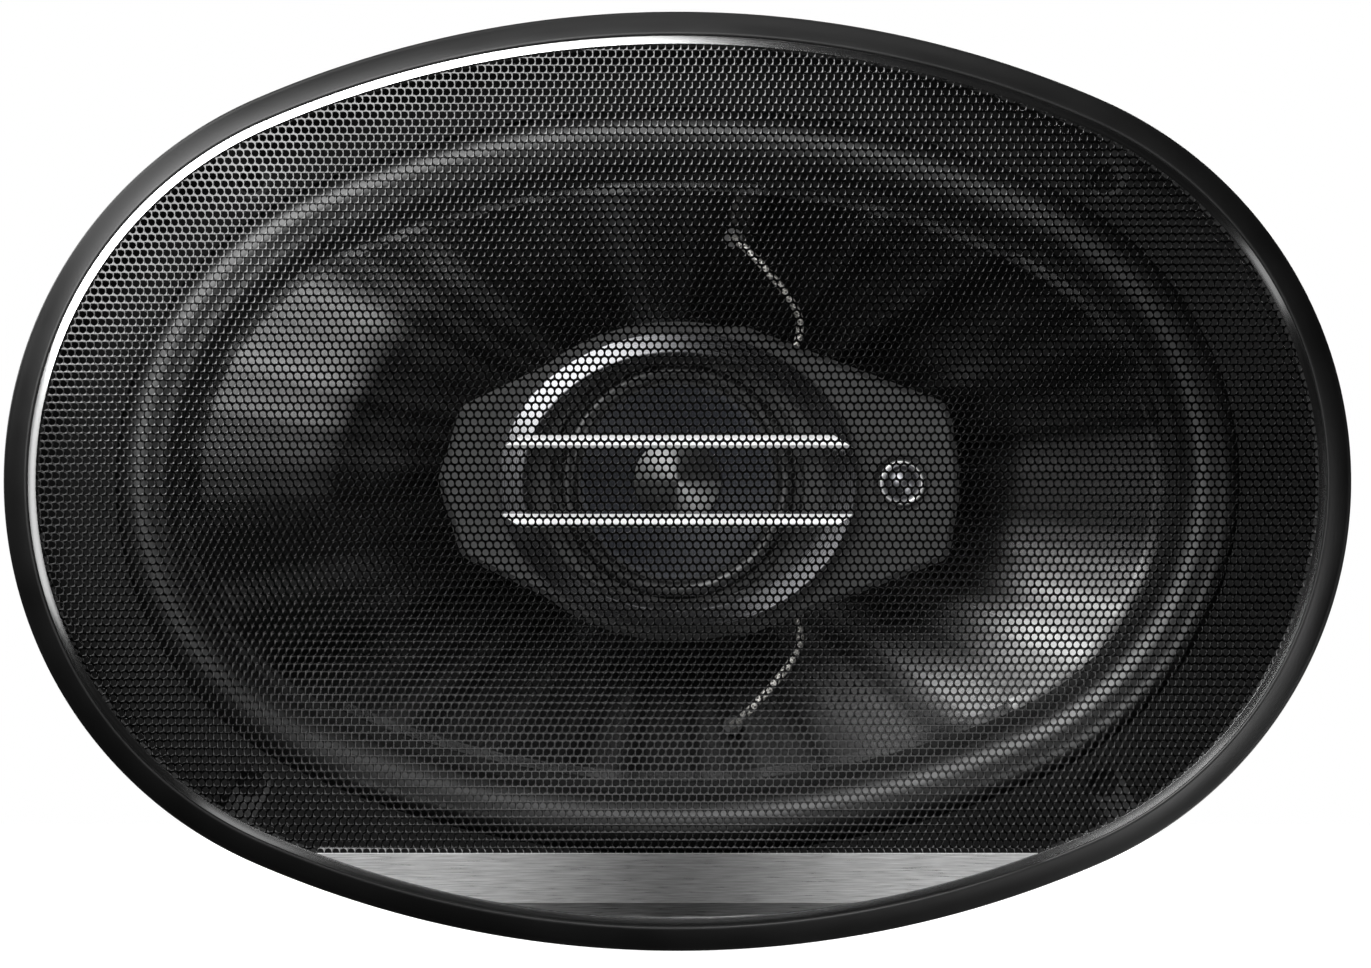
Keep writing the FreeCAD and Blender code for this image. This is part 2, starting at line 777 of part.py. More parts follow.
def cone_eyelets():
    """Two hollow rivets through the cone that the leads are soldered into."""
    eyelets = []
    for place, height in EYELETS:
        shank = disc(0.93, height - 2.2, height + EYELET_TOP, place)
        head = disc(1.7, height + EYELET_HEAD, height + EYELET_TOP, place)
        eyelets.append(shank.fuse(head))
    return Part.Compound(eyelets)


def rear_lead():
    """Tinsel lead from a terminal's pin in to the back of the cone."""
    y = LEAD_PINS[0]
    start = on_pad(Part.Vertex(0, y, -2.2)).Point
    return cord([
        start,
        on_pad(Part.Vertex(0, y, -6.6)).Point,
        Vector(64.5, -5.2, -17.0),
        Vector(56.0, -5.5, -22.5),
        Vector(47.0, -5.8, -26.0),
        Vector(38.1, -6.0, -25.9),
        Vector(36.0, -6.0, -21.4),
    ], REAR_LEAD_RADIUS)


BOARD_THICKNESS = 1.6


def terminal_board():
    """Insulating board riveted across the wide spoke."""
    board = block((-8, -14, 0), (8, 14, BOARD_THICKNESS))
    board = board.makeFillet(1.5, upright_edges(board))
    for y in BOARD_RIVETS:
        board = board.cut(disc(1.3, 0, 4, Vector(0, y, 0)))
    for y in LEAD_PINS:
        board = board.cut(disc(1.0, 0, 4, Vector(0, y, 0)))
    return on_pad(board)


def terminal(y, half_width):
    """Push-on blade: a foot on the board, a tab standing off it and a pin for the lead."""
    blade_thickness = 0.8
    foot_top = BOARD_THICKNESS + blade_thickness
    foot = block((-4.0, -half_width, BOARD_THICKNESS), (4.0, half_width, foot_top))
    tab = block((4.0 - blade_thickness, -half_width, BOARD_THICKNESS), (4.0, half_width, 12.0))
    pin = disc(0.9, -2.18, BOARD_THICKNESS)
    blade = foot.fuse([tab, pin])
    blade.translate(Vector(0, y, 0))
    return on_pad(blade)


def terminal_rivets():
    rivets = []
    for y in BOARD_RIVETS:
        shank = disc(1.2, -1.0, BOARD_THICKNESS, Vector(0, y, 0))
        head = disc(2.2, BOARD_THICKNESS, BOARD_THICKNESS + 1.0, Vector(0, y, 0))
        rivets.append(on_pad(shank.fuse(head)))
    return Part.Compound(rivets)


def capacitor(along):
    """Small film capacitor glued across the pad, beside the terminal board."""
    radius = 4.0
    half_length = 9.0
    axis = Vector(0, 1, 0)
    body = Part.makeCylinder(radius, 2 * half_length, Vector(along, -half_length, radius), axis)
    body = body.makeFillet(0.8, [edge for edge in body.Edges if len(edge.Vertexes) == 1])
    wire_radius = 0.4
    wire = Part.makeCylinder(wire_radius, 2 * half_length + 6,
                             Vector(along, -half_length - 3, radius), axis)
    return on_pad(body.fuse(wire))


def main():
    os.makedirs("parts", exist_ok=True)
    save("grille_frame", grille_frame())
    save("grille_trim_ring", grille_trim_ring())
    save("grille_mesh", grille_mesh())
    save("name_plate", name_plate())
    save("front_gasket", front_gasket())
    save("rear_gasket", rear_gasket())
    save("basket", basket())
    save("basket_rivets", basket_rivets())
    save("surround", surround())
    save("cone", cone())
    save("cone_eyelets", cone_eyelets())
    save("spider", spider())
    save("voice_coil_former", voice_coil_former())
    save("voice_coil", voice_coil())
    save("top_plate", top_plate())
    save("magnet", magnet())
    save("yoke", yoke())
    save("post_screw", post_screw())
    save("centre_post", centre_post())
    save("housing", housing())
    save("mid_trim_ring", mid_trim_ring())
    save("mid_bars", mid_bars())
    save("mid_frame", mid_frame())
    save("mid_surround", mid_surround())
    save("mid_cone", mid_cone())
    save("mid_dust_cap", mid_dust_cap())
    save("mid_voice_coil", mid_voice_coil())
    save("mid_yoke", mid_yoke())
    save("mid_magnet", mid_magnet())
    save("mid_top_plate", mid_top_plate())
    save("tweeter_case", tweeter_case())
    save("tweeter_magnet", tweeter_magnet())
    save("tweeter_pole_plate", tweeter_pole_plate())
    save("tweeter_voice_coil", tweeter_voice_coil())
    save("tweeter_suspension", tweeter_suspension())
    save("tweeter_ring", tweeter_ring())
    save("tweeter_dome", tweeter_dome())
    save("front_lead_upper", front_lead())
    save("front_lead_lower", flipped(front_lead()))
    save("rear_lead_upper", flipped(rear_lead()))
    save("rear_lead_lower", rear_lead())
    save("terminal_board", terminal_board())
    save("terminal_positive", terminal(-5.0, 3.15))
    save("terminal_negative", terminal(5.0, 2.4))
    save("terminal_rivets", terminal_rivets())
    save("capacitor_mid", capacitor(15.0))
    save("capacitor_tweeter", capacitor(-15.0))


main()
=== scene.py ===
import math

import bpy
import numpy as np
from mathutils import Matrix, Vector


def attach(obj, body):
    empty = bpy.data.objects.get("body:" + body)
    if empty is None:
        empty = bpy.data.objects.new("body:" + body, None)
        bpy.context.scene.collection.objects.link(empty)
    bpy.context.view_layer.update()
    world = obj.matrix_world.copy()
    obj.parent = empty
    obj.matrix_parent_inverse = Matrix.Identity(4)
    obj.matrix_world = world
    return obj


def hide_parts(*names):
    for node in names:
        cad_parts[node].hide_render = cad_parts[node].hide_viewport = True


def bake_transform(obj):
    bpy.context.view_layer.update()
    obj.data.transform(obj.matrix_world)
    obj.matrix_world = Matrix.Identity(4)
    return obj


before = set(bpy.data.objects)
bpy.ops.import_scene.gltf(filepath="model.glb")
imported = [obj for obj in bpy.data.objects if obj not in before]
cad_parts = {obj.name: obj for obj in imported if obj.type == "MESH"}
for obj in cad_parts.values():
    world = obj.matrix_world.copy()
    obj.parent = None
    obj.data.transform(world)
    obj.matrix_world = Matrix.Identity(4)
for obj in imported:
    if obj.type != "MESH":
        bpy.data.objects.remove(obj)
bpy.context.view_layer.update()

# Coaxial 6 x 9 inch car loudspeaker.  Shapes are worked out in mm in a drawing frame: x to the
# right, y up, z out of the panel towards the listener.  place() turns them into the row frame.

CAMERA_DISTANCE = 8.0
PICTURE_WIDTH = 0.2476
PICTURE_CENTRE = (0.00145, -0.0005)
FLOOR_Z = -0.0848


def place(points):
    """Drawing-frame points in mm as row-frame points in metres."""
    points = np.asarray(points, float)
    return np.column_stack([points[:, 0], -points[:, 2], points[:, 1]]) / 1000


# ---------------------------------------------------------------- camera

def make_camera():
    data = bpy.data.cameras.new("camera")
    data.sensor_width = 36.0
    data.lens = data.sensor_width * CAMERA_DISTANCE / PICTURE_WIDTH
    data.clip_end = 60.0
    camera = bpy.data.objects.new("camera", data)
    camera.location = (PICTURE_CENTRE[0], -CAMERA_DISTANCE, PICTURE_CENTRE[1])
    camera.rotation_euler = (math.radians(90), 0, 0)
    bpy.context.collection.objects.link(camera)
    bpy.context.scene.camera = camera


make_camera()


# ---------------------------------------------------------------- outlines

class Oval:
    """A closed oval of four tangent arcs, as in the CAD model."""

    def __init__(self, half_length, half_height, end_radius):
        self.half_length = half_length
        self.half_height = half_height
        self.end_radius = end_radius
        self.reach = half_length - end_radius
        square = self.reach ** 2 + half_height ** 2 - end_radius ** 2
        self.side_radius = square / (2 * (half_height - end_radius))
        self.drop = half_height - self.side_radius
        self.join = math.atan2(-self.drop, self.reach)

    def grown(self, distance):
        return Oval(self.half_length + distance, self.half_height + distance,
                    self.end_radius + distance)

    def rail(self, steps):
        """Points all round the oval.  Each of its arcs also counts as a quarter of a full turn."""
        fewest = 8
        join, half_turn = self.join, math.pi
        arcs = [
            ((self.reach, 0), self.end_radius, -join, join),
            ((0, self.drop), self.side_radius, join, half_turn - join),
            ((-self.reach, 0), self.end_radius, half_turn - join, half_turn + join),
            ((0, -self.drop), self.side_radius, half_turn + join, 2 * half_turn - join),
        ]
        total = sum(radius * (end - start) for _, radius, start, end in arcs)
        centres, radii, outward, quarters = [], [], [], []
        for index, (centre, radius, start, end) in enumerate(arcs):
            count = max(fewest, round(steps * radius * (end - start) / total))
            for step in range(count):
                angle = start + (end - start) * step / count
                centres.append(centre)
                radii.append(radius)
                outward.append((math.cos(angle), math.sin(angle)))
                quarters.append(-math.pi / 4 + (index + step / count) * math.pi / 2)
        return Rail(centres, radii, outward, quarters)

    def depth(self, x, y):
        """How far points lie inside the oval."""
        x, y = np.abs(x), np.abs(y)
        by_end = self.end_radius - np.hypot(x - self.reach, y)
        by_side = self.side_radius - np.hypot(x, y - self.drop)
        return np.where(np.arctan2(y - self.drop, x) < self.join, by_end, by_side)


class Rail:
    """Arc centres, arc radii and outward directions at points round a closed outline.

    at() gives the points moved outwards by a distance, and quarters their angles on a circle.
    """

    def __init__(self, centres, radii, outward, quarters):
        self.centres = np.array(centres, float)
        self.radii = np.array(radii, float)
        self.outward = np.array(outward, float)
        self.quarters = np.array(quarters, float)

    def at(self, distance):
        return self.centres + (self.radii + distance)[:, None] * self.outward

    def __len__(self):
        return len(self.radii)


def circle_rail(centre=(0, 0), steps=160):
    """The same for a circle about a centre, which at() gives for a distance of its radius."""
    angles = np.arange(steps) * 2 * math.pi / steps
    outward = np.column_stack([np.cos(angles), np.sin(angles)])
    return Rail(np.tile(centre, (steps, 1)), np.zeros(steps), outward, angles)


GRILLE = Oval(121.5, 84.7, 75.1)
CONE_EDGE = Oval(90.5, 56.5, 47.0)
CONE_TOP = CONE_EDGE.grown(-4.0)


def arc(start, through, end, steps):
    """Points from start to end along the circle through three points."""
    (ax, ay), (bx, by), (cx, cy) = start, through, end
    d = 2 * (ax * (by - cy) + bx * (cy - ay) + cx * (ay - by))
    a, b, c = ax ** 2 + ay ** 2, bx ** 2 + by ** 2, cx ** 2 + cy ** 2
    centre = ((a * (by - cy) + b * (cy - ay) + c * (ay - by)) / d,
              (a * (cx - bx) + b * (ax - cx) + c * (bx - ax)) / d)
    radius = math.dist(start, centre)
    first = math.atan2(ay - centre[1], ax - centre[0])
    middle = math.atan2(by - centre[1], bx - centre[0])
    last = math.atan2(cy - centre[1], cx - centre[0])
    ahead = (last - first) % (2 * math.pi)
    if (middle - first) % (2 * math.pi) > ahead:
        ahead -= 2 * math.pi
    return [(centre[0] + radius * math.cos(first + ahead * k / steps),
             centre[1] + radius * math.sin(first + ahead * k / steps)) for k in range(steps + 1)]


def softened(points, size):
    """The same closed section with its corners eased."""
    eased = []
    count = len(points)
    for index, corner in enumerate(points):
        corner = np.array(corner, float)
        back = np.array(points[index - 1], float) - corner
        ahead = np.array(points[(index + 1) % count], float) - corner
        reach = min(size, 0.4 * np.linalg.norm(back), 0.4 * np.linalg.norm(ahead))
        back *= reach / np.linalg.norm(back)
        ahead *= reach / np.linalg.norm(ahead)
        for share_back, share_ahead in ((1, 0), (0.32, 0.08), (0.08, 0.32), (0, 1)):
            eased.append(tuple(corner + back * share_back + ahead * share_ahead))
    return eased


# ---------------------------------------------------------------- meshes

def mesh_object(name, points, faces, uvs, sharp):
    """A smooth-shaded object from drawing-frame points and an array of equal-sized faces.

    Edges that turn by more than sharp degrees stay sharp; 0 leaves every edge smooth.
    """
    faces = np.asarray(faces, np.int32)
    mesh = bpy.data.meshes.new(name)
    mesh.vertices.add(len(points))
    mesh.vertices.foreach_set("co", place(points).astype(np.float32).ravel())
    mesh.loops.add(faces.size)
    mesh.loops.foreach_set("vertex_index", faces.ravel())
    mesh.polygons.add(len(faces))
    starts = np.arange(0, faces.size, faces.shape[1], dtype=np.int32)
    mesh.polygons.foreach_set("loop_start", starts)
    mesh.polygons.foreach_set("use_smooth", np.ones(len(faces), bool))
    mesh.update(calc_edges=True)
    if uvs is not None:
        layer = mesh.uv_layers.new(name="UVMap")
        layer.data.foreach_set("uv", np.asarray(uvs, np.float32).ravel())
    mesh.validate()
    if sharp:
        mesh.set_sharp_from_angle(angle=math.radians(sharp))
    piece = bpy.data.objects.new(name, mesh)
    bpy.context.collection.objects.link(piece)
    return piece


def grid_faces(count, rows, closed_rows):
    """Quads between rows of points that run all the way round, and their corners' (step, row)."""
    faces, uvs = [], []
    last = rows if closed_rows else rows - 1
    for row in range(last):
        following = (row + 1) % rows
        step = np.arange(count)
        ahead = (step + 1) % count
        faces.append(np.column_stack([row * count + step, row * count + ahead,
                                      following * count + ahead, following * count + step]))
        corners = np.stack([
            np.column_stack([step, np.full(count, row)]),
            np.column_stack([step + 1, np.full(count, row)]),
            np.column_stack([step + 1, np.full(count, row + 1)]),
            np.column_stack([step, np.full(count, row + 1)]),
        ], axis=1)
        uvs.append(corners)
    return np.concatenate(faces), np.concatenate(uvs).astype(float)


def surface(name, rows, sharp):
    """A closed skin over rows of points round an outline.  Its UVs are mm along and across."""
    rows = [np.asarray(row, float) for row in rows]
    count = len(rows[0])
    faces, uvs = grid_faces(count, len(rows), True)
    middle = rows[len(rows) // 2]
    around = np.linalg.norm(np.roll(middle, -1, axis=0) - middle, axis=1).sum()
    steps = [np.linalg.norm(rows[(k + 1) % len(rows)][0] - rows[k][0]) for k in range(len(rows))]
    across = np.concatenate([[0], np.cumsum(steps)])
    uvs[:, :, 0] *= around / count
    uvs[:, :, 1] = across[uvs[:, :, 1].astype(int)]
    points = np.concatenate(rows)
    a, b, c = (points[faces[:, k]] for k in (0, 1, 2))
    if np.einsum("ij,ij->i", a, np.cross(b, c)).sum() < 0:
        faces, uvs = faces[:, ::-1], uvs[:, ::-1]
    return mesh_object(name, points, faces, uvs, sharp)


def swept(name, rail, section, sharp):
    """A ring: a closed section of (distance outwards, z) carried round a rail."""
    rows = [np.column_stack([rail.at(out), np.full(len(rail), z)]) for out, z in section]
    return surface(name, rows, sharp)


def fit(piece, body, slot, material, *nodes):
    """Colour a piece, ride it on its body and let it stand for CAD nodes."""
    piece.data.materials.clear()
    piece.data.materials.append(material)
    if body:
        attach(piece, body)
    if nodes:
        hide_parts(*nodes)


def bend_across(piece):
    """Bake a flexible piece's placement into its mesh."""
    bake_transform(piece)


# ---------------------------------------------------------------- materials

# Object coordinates are in metres and UV maps in mm, so noise scales are per metre or per mm.
# Grain, weave pitch and bump depths are in metres; groove and braid pitches are in mm.
NOISE_LOW, NOISE_HIGH = 0.3, 0.7


def blank(name, colour, metallic, roughness, **sockets):
    """A Principled material; sockets are constants set on the shader itself."""
    material = bpy.data.materials.new(name)
    material.use_nodes = True
    shader = material.node_tree.nodes["Principled BSDF"]
    shader.inputs["Base Color"].default_value = (*colour, 1)
    shader.inputs["Metallic"].default_value = metallic
    shader.inputs["Roughness"].default_value = roughness
    for socket, value in sockets.items():
        shader.inputs[socket.replace("_", " ")].default_value = value
    return material, material.node_tree.nodes, material.node_tree.links, shader


def coordinates(nodes, links, scale, source="Object"):
    """Texture coordinates stretched by a scale along each axis."""
    start = nodes.new("ShaderNodeTexCoord")
    stretch = nodes.new("ShaderNodeMapping")
    stretch.inputs["Scale"].default_value = scale
    links.new(start.outputs[source], stretch.inputs["Vector"])
    return stretch.outputs["Vector"]


def noise(nodes, links, scale, detail, source="Object"):
    texture = nodes.new("ShaderNodeTexNoise")
    texture.inputs["Scale"].default_value = 1.0
    texture.inputs["Detail"].default_value = detail
    links.new(coordinates(nodes, links, scale, source), texture.inputs["Vector"])
    return texture.outputs["Fac"]


def ramp(nodes, links, value, low, high):
    """Spread a noise value, which keeps to the middle of 0 to 1, from low to high."""
    spread = nodes.new("ShaderNodeMapRange")
    spread.inputs["From Min"].default_value = NOISE_LOW
    spread.inputs["From Max"].default_value = NOISE_HIGH
    spread.inputs["To Min"].default_value = low
    spread.inputs["To Max"].default_value = high
    links.new(value, spread.inputs["Value"])
    return spread.outputs["Result"]


def tint(nodes, links, value, dark, light):
    """Spread a noise value, which keeps to the middle of 0 to 1, from dark to light."""
    colours = nodes.new("ShaderNodeValToRGB")
    colours.color_ramp.elements[0].position = NOISE_LOW
    colours.color_ramp.elements[1].position = NOISE_HIGH
    colours.color_ramp.elements[0].color = (*dark, 1)
    colours.color_ramp.elements[1].color = (*light, 1)
    links.new(value, colours.inputs["Fac"])
    return colours.outputs["Color"]


def bump(nodes, links, shader, height, distance):
    node = nodes.new("ShaderNodeBump")
    node.inputs["Strength"].default_value = 1.0
    node.inputs["Distance"].default_value = distance
    links.new(height, node.inputs["Height"])
    links.new(node.outputs["Normal"], shader.inputs["Normal"])


def moulded(name, grey, roughness, grain, depth, tone=(1, 1, 1), **sockets):
    """Moulded plastic, rubber or paint: fine grain, with a little wander in tone and gloss."""
    colour = [grey * part for part in tone]
    material, nodes, links, shader = blank(name, colour, 0.0, roughness, **sockets)
    cloud = noise(nodes, links, (60, 60, 60), 4.0)
    dark = [0.82 * part for part in colour]
    light = [1.15 * part for part in colour]
    links.new(tint(nodes, links, cloud, dark, light), shader.inputs["Base Color"])
    links.new(ramp(nodes, links, cloud, 0.9 * roughness, 1.12 * roughness),
              shader.inputs["Roughness"])
    fine = noise(nodes, links, (1 / grain,) * 3, 2.0)
    bump(nodes, links, shader, fine, depth)
    return material


def brushed(name, colour, roughness, scale, source, depth, contrast=0.12):
    """Metal brushed along one direction, given by how the noise is stretched."""
    material, nodes, links, shader = blank(name, colour, 1.0, roughness)
    if source == "UV":
        comb(nodes, links, shader, 0.7)
    hair = noise(nodes, links, scale, 4.0, source)
    dark = [part * (1 - contrast) for part in colour]
    light = [min(1, part * (1 + contrast)) for part in colour]
    links.new(tint(nodes, links, hair, dark, light), shader.inputs["Base Color"])
    links.new(ramp(nodes, links, hair, 0.86 * roughness, 1.2 * roughness),
              shader.inputs["Roughness"])
    bump(nodes, links, shader, hair, depth)
    return material


def painted_sheen_ends(material, reach, middle, ends):
    """Painted highlight along x: the base colour stays dim in the middle and is made bright at the
    two ends.
    """
    nodes, links = material.node_tree.nodes, material.node_tree.links
    shader = nodes["Principled BSDF"]
    split = nodes.new("ShaderNodeSeparateXYZ")
    links.new(nodes.new("ShaderNodeTexCoord").outputs["Object"], split.inputs["Vector"])
    away = nodes.new("ShaderNodeMath")
    away.operation = "ABSOLUTE"
    links.new(split.outputs["X"], away.inputs[0])
    # Painted highlight: the base colour is multiplied up from the middle towards both ends.
    painted_sheen_fade = nodes.new("ShaderNodeMapRange")
    painted_sheen_fade.interpolation_type = "SMOOTHSTEP"
    painted_sheen_fade.inputs["From Max"].default_value = reach
    painted_sheen_fade.inputs["To Min"].default_value = middle
    painted_sheen_fade.inputs["To Max"].default_value = ends
    links.new(away.outputs["Value"], painted_sheen_fade.inputs["Value"])
    blend = nodes.new("ShaderNodeMix")
    blend.data_type = "RGBA"
    blend.blend_type = "MULTIPLY"
    blend.inputs["Factor"].default_value = 1.0
    links.new(shader.inputs["Base Color"].links[0].from_socket, blend.inputs[6])
    links.new(painted_sheen_fade.outputs["Result"], blend.inputs[7])
    links.new(blend.outputs[2], shader.inputs["Base Color"])
    return material


def comb(nodes, links, shader, amount):
    """Spread the gloss across fine lines that run along the UV map's first direction."""
    along = nodes.new("ShaderNodeTangent")
    along.direction_type = "UV_MAP"
    along.uv_map = "UVMap"
    links.new(along.outputs["Tangent"], shader.inputs["Tangent"])
    shader.inputs["Anisotropic"].default_value = amount
    shader.inputs["Anisotropic Rotation"].default_value = 0.25


def grooved(name, grey, roughness, pitch, depth, streak):
    """Sheen with fine grooves all the way round, so light spreads in rays from the middle.

    Read from the UV map: mm along the grooves and mm across them.
    """
    material, nodes, links, shader = blank(name, (grey, grey, grey), 1.0, roughness)
    comb(nodes, links, shader, 0.85)
    wave = nodes.new("ShaderNodeTexWave")
    wave.bands_direction = "Y"
    wave.inputs["Scale"].default_value = math.pi / (10 * pitch)
    wave.inputs["Distortion"].default_value = 0.0
    links.new(coordinates(nodes, links, (1, 1, 1), "UV"), wave.inputs["Vector"])
    rays = noise(nodes, links, (0.16, 0.004, 1), 4.0, "UV")
    shade = tint(nodes, links, rays, (grey * (1 - streak),) * 3, (grey * (1 + streak),) * 3)
    links.new(shade, shader.inputs["Base Color"])
    links.new(ramp(nodes, links, rays, roughness - 0.03, roughness + 0.05),
              shader.inputs["Roughness"])
    bump(nodes, links, shader, wave.outputs["Fac"], depth)
    return material


def polished(name, grey, roughness):
    """Plated metal with a faint smear and a very fine grain."""
    colour = (grey, grey, grey)
    material, nodes, links, shader = blank(name, colour, 1.0, roughness)
    smear = noise(nodes, links, (90, 90, 90), 4.0)
    links.new(ramp(nodes, links, smear, roughness, roughness + 0.07), shader.inputs["Roughness"])
    links.new(tint(nodes, links, smear, (0.93 * grey,) * 3, colour), shader.inputs["Base Color"])
    fine = noise(nodes, links, (900, 900, 900), 2.0)
    bump(nodes, links, shader, fine, 0.000002)
    return material


def painted_highlight_quarters(material, bright, dull):
    """Painted highlight on two opposite quarters of a round cap's base colour, and painted shade on
    the other two.
    """
    edge = 0.0000001
    nodes, links = material.node_tree.nodes, material.node_tree.links
    shader = nodes["Principled BSDF"]
    start = nodes.new("ShaderNodeTexCoord")
    split = nodes.new("ShaderNodeSeparateXYZ")
    links.new(start.outputs["Object"], split.inputs["Vector"])
    product = nodes.new("ShaderNodeMath")
    product.operation = "MULTIPLY"
    links.new(split.outputs["X"], product.inputs[0])
    links.new(split.outputs["Z"], product.inputs[1])
    # Painted highlight and painted shade: the sign of x times z picks the bright or the dark base
    # colour.
    painted_quarter_tone = nodes.new("ShaderNodeMapRange")
    painted_quarter_tone.inputs["From Min"].default_value = -edge
    painted_quarter_tone.inputs["From Max"].default_value = edge
    painted_quarter_tone.inputs["To Min"].default_value = bright
    painted_quarter_tone.inputs["To Max"].default_value = dull
    links.new(product.outputs["Value"], painted_quarter_tone.inputs["Value"])
    links.new(painted_quarter_tone.outputs["Result"], shader.inputs["Base Color"])
    return material


def woven(name, dark, light, roughness, pitch, depth):
    """Plain weave from two crossed sets of bands."""
    material, nodes, links, shader = blank(name, light, 0.0, roughness)
    bands = []
    for direction in ("X", "Z"):
        wave = nodes.new("ShaderNodeTexWave")
        wave.bands_direction = direction
        wave.inputs["Scale"].default_value = math.pi / (10 * pitch)
        wave.inputs["Distortion"].default_value = 0.4
        links.new(coordinates(nodes, links, (1, 1, 1)), wave.inputs["Vector"])
        bands.append(wave.outputs["Fac"])
    cross = nodes.new("ShaderNodeMath")
    cross.operation = "MULTIPLY"
    links.new(bands[0], cross.inputs[0])
    links.new(bands[1], cross.inputs[1])
    links.new(tint(nodes, links, cross.outputs[0], dark, light), shader.inputs["Base Color"])
    bump(nodes, links, shader, cross.outputs[0], depth)
    return material


def braided(name, dark, light, roughness, pitch, depth):
    """Metal braid on a cord: two sets of slanting strands, read from its UV map in mm."""
    material, nodes, links, shader = blank(name, light, 0.8, roughness)
    bands = []
    for lean in (1, -1):
        wave = nodes.new("ShaderNodeTexWave")
        wave.bands_direction = "DIAGONAL"
        wave.inputs["Scale"].default_value = math.pi / (10 * pitch)
        links.new(coordinates(nodes, links, (lean, 1, 1), "UV"), wave.inputs["Vector"])
        bands.append(wave.outputs["Fac"])
    cross = nodes.new("ShaderNodeMath")
    cross.operation = "MAXIMUM"
    links.new(bands[0], cross.inputs[0])
    links.new(bands[1], cross.inputs[1])
    links.new(tint(nodes, links, cross.outputs[0], dark, light), shader.inputs["Base Color"])
    bump(nodes, links, shader, cross.outputs[0], depth)
    return material


FRAME_BLACK = moulded("frame_black", grey=0.002, roughness=0.40, grain=0.00025, depth=0.00001)
TRIM_SATIN = brushed("trim_satin", colour=(0.5, 0.5, 0.5), roughness=0.15, scale=(0.02, 3, 1),
                     source="UV", depth=0.0000001, contrast=0.03)
MESH_BLACK = moulded("mesh_black", grey=0.058, roughness=0.11, grain=0.0002, depth=0.000001,
                     Metallic=1.0)
# Brushed plate whose base colour carries a painted highlight at its left and right ends.
PLATE_BRUSHED_PAINTED_SHEEN = painted_sheen_ends(
    brushed("plate_brushed", colour=(0.8, 0.8, 0.8), roughness=0.31, scale=(200, 300, 5200),
            source="Object", depth=0.000006, contrast=0.24),
    reach=0.048, middle=0.28, ends=1.0)
RUBBER = moulded("rubber", grey=0.002, roughness=0.6, grain=0.0004, depth=0.00003,
                 Specular_IOR_Level=0.12)
SURROUND_RUBBER = moulded("surround_rubber", grey=0.002, roughness=0.38, grain=0.0003,
                          depth=0.000012, IOR=1.6, Specular_IOR_Level=0.5)
BASKET_PAINT = moulded("basket_paint", grey=0.008, roughness=0.44, grain=0.0005, depth=0.00002)
CONE_BLACK = grooved("cone_black", grey=0.085, roughness=0.24, pitch=1.3, depth=0.000006,
                     streak=0.8)
SPIDER_CLOTH = woven("spider_cloth", dark=(0.30, 0.19, 0.05), light=(0.62, 0.44, 0.16),
                     roughness=0.75, pitch=0.0007, depth=0.0001)
FORMER_METAL = brushed("former_metal", colour=(0.55, 0.55, 0.56), roughness=0.4,
                       scale=(300, 300, 300), source="Object", depth=0.000005)
COPPER = brushed("copper_wire", colour=(0.72, 0.30, 0.12), roughness=0.3, scale=(40, 6000, 40),
                 source="Object", depth=0.00004, contrast=0.25)
PLATED_STEEL = brushed("plated_steel", colour=(0.52, 0.53, 0.55), roughness=0.35,
                       scale=(200, 3000, 200), source="Object", depth=0.000008)
FERRITE = moulded("ferrite", grey=0.05, roughness=0.62, grain=0.0006, depth=0.00004,
                  tone=(1, 1, 1.04))
BLACK_STEEL = moulded("black_steel", grey=0.03, roughness=0.36, grain=0.0005, depth=0.00001)
HOUSING_PLASTIC = moulded("housing_plastic", grey=0.021, roughness=0.45, grain=0.0004,
                          depth=0.00002)
BEZEL_METAL = brushed("bezel_metal", colour=(0.13, 0.13, 0.135), roughness=0.28,
                      scale=(0.05, 6, 1), source="UV", depth=0.000006)
CHROME = polished("chrome", grey=0.7, roughness=0.34)
BAR_CHROME = polished("bar_chrome", grey=0.95, roughness=0.46)
MID_CLOTH = woven("mid_cone_cloth", dark=(0.006, 0.007, 0.011), light=(0.02, 0.023, 0.032),
                  roughness=0.6, pitch=0.0005, depth=0.00006)
# Spun cap whose quarters carry a painted highlight (bright) and painted shade (dull) in the base
# colour.
SPUN_METAL_PAINTED_QUARTERS = painted_highlight_quarters(
    grooved("spun_metal", grey=0.4, roughness=0.5, pitch=0.35, depth=0.000004, streak=0.1),
    bright=0.22, dull=0.11)
TWEETER_FILM = brushed("tweeter_film", colour=(0.16, 0.16, 0.17), roughness=0.35,
                       scale=(400, 400, 400), source="Object", depth=0.000004)
BRAID = braided("braid", dark=(0.07, 0.066, 0.062), light=(0.4, 0.39, 0.37), roughness=0.42,
                pitch=0.5, depth=0.00012)
BOARD = moulded("board_fibre", grey=0.3, roughness=0.55, grain=0.0006, depth=0.00002,
                tone=(0.75, 0.38, 0.14))
TIN = brushed("tin", colour=(0.72, 0.71, 0.68), roughness=0.3, scale=(500, 500, 2500),
              source="Object", depth=0.000006)
CAPACITOR = moulded("capacitor_film", grey=0.5, roughness=0.3, grain=0.001, depth=0.00002,
                    tone=(0.9, 0.62, 0.12), Coat_Weight=0.5)


# ---------------------------------------------------------------- leads

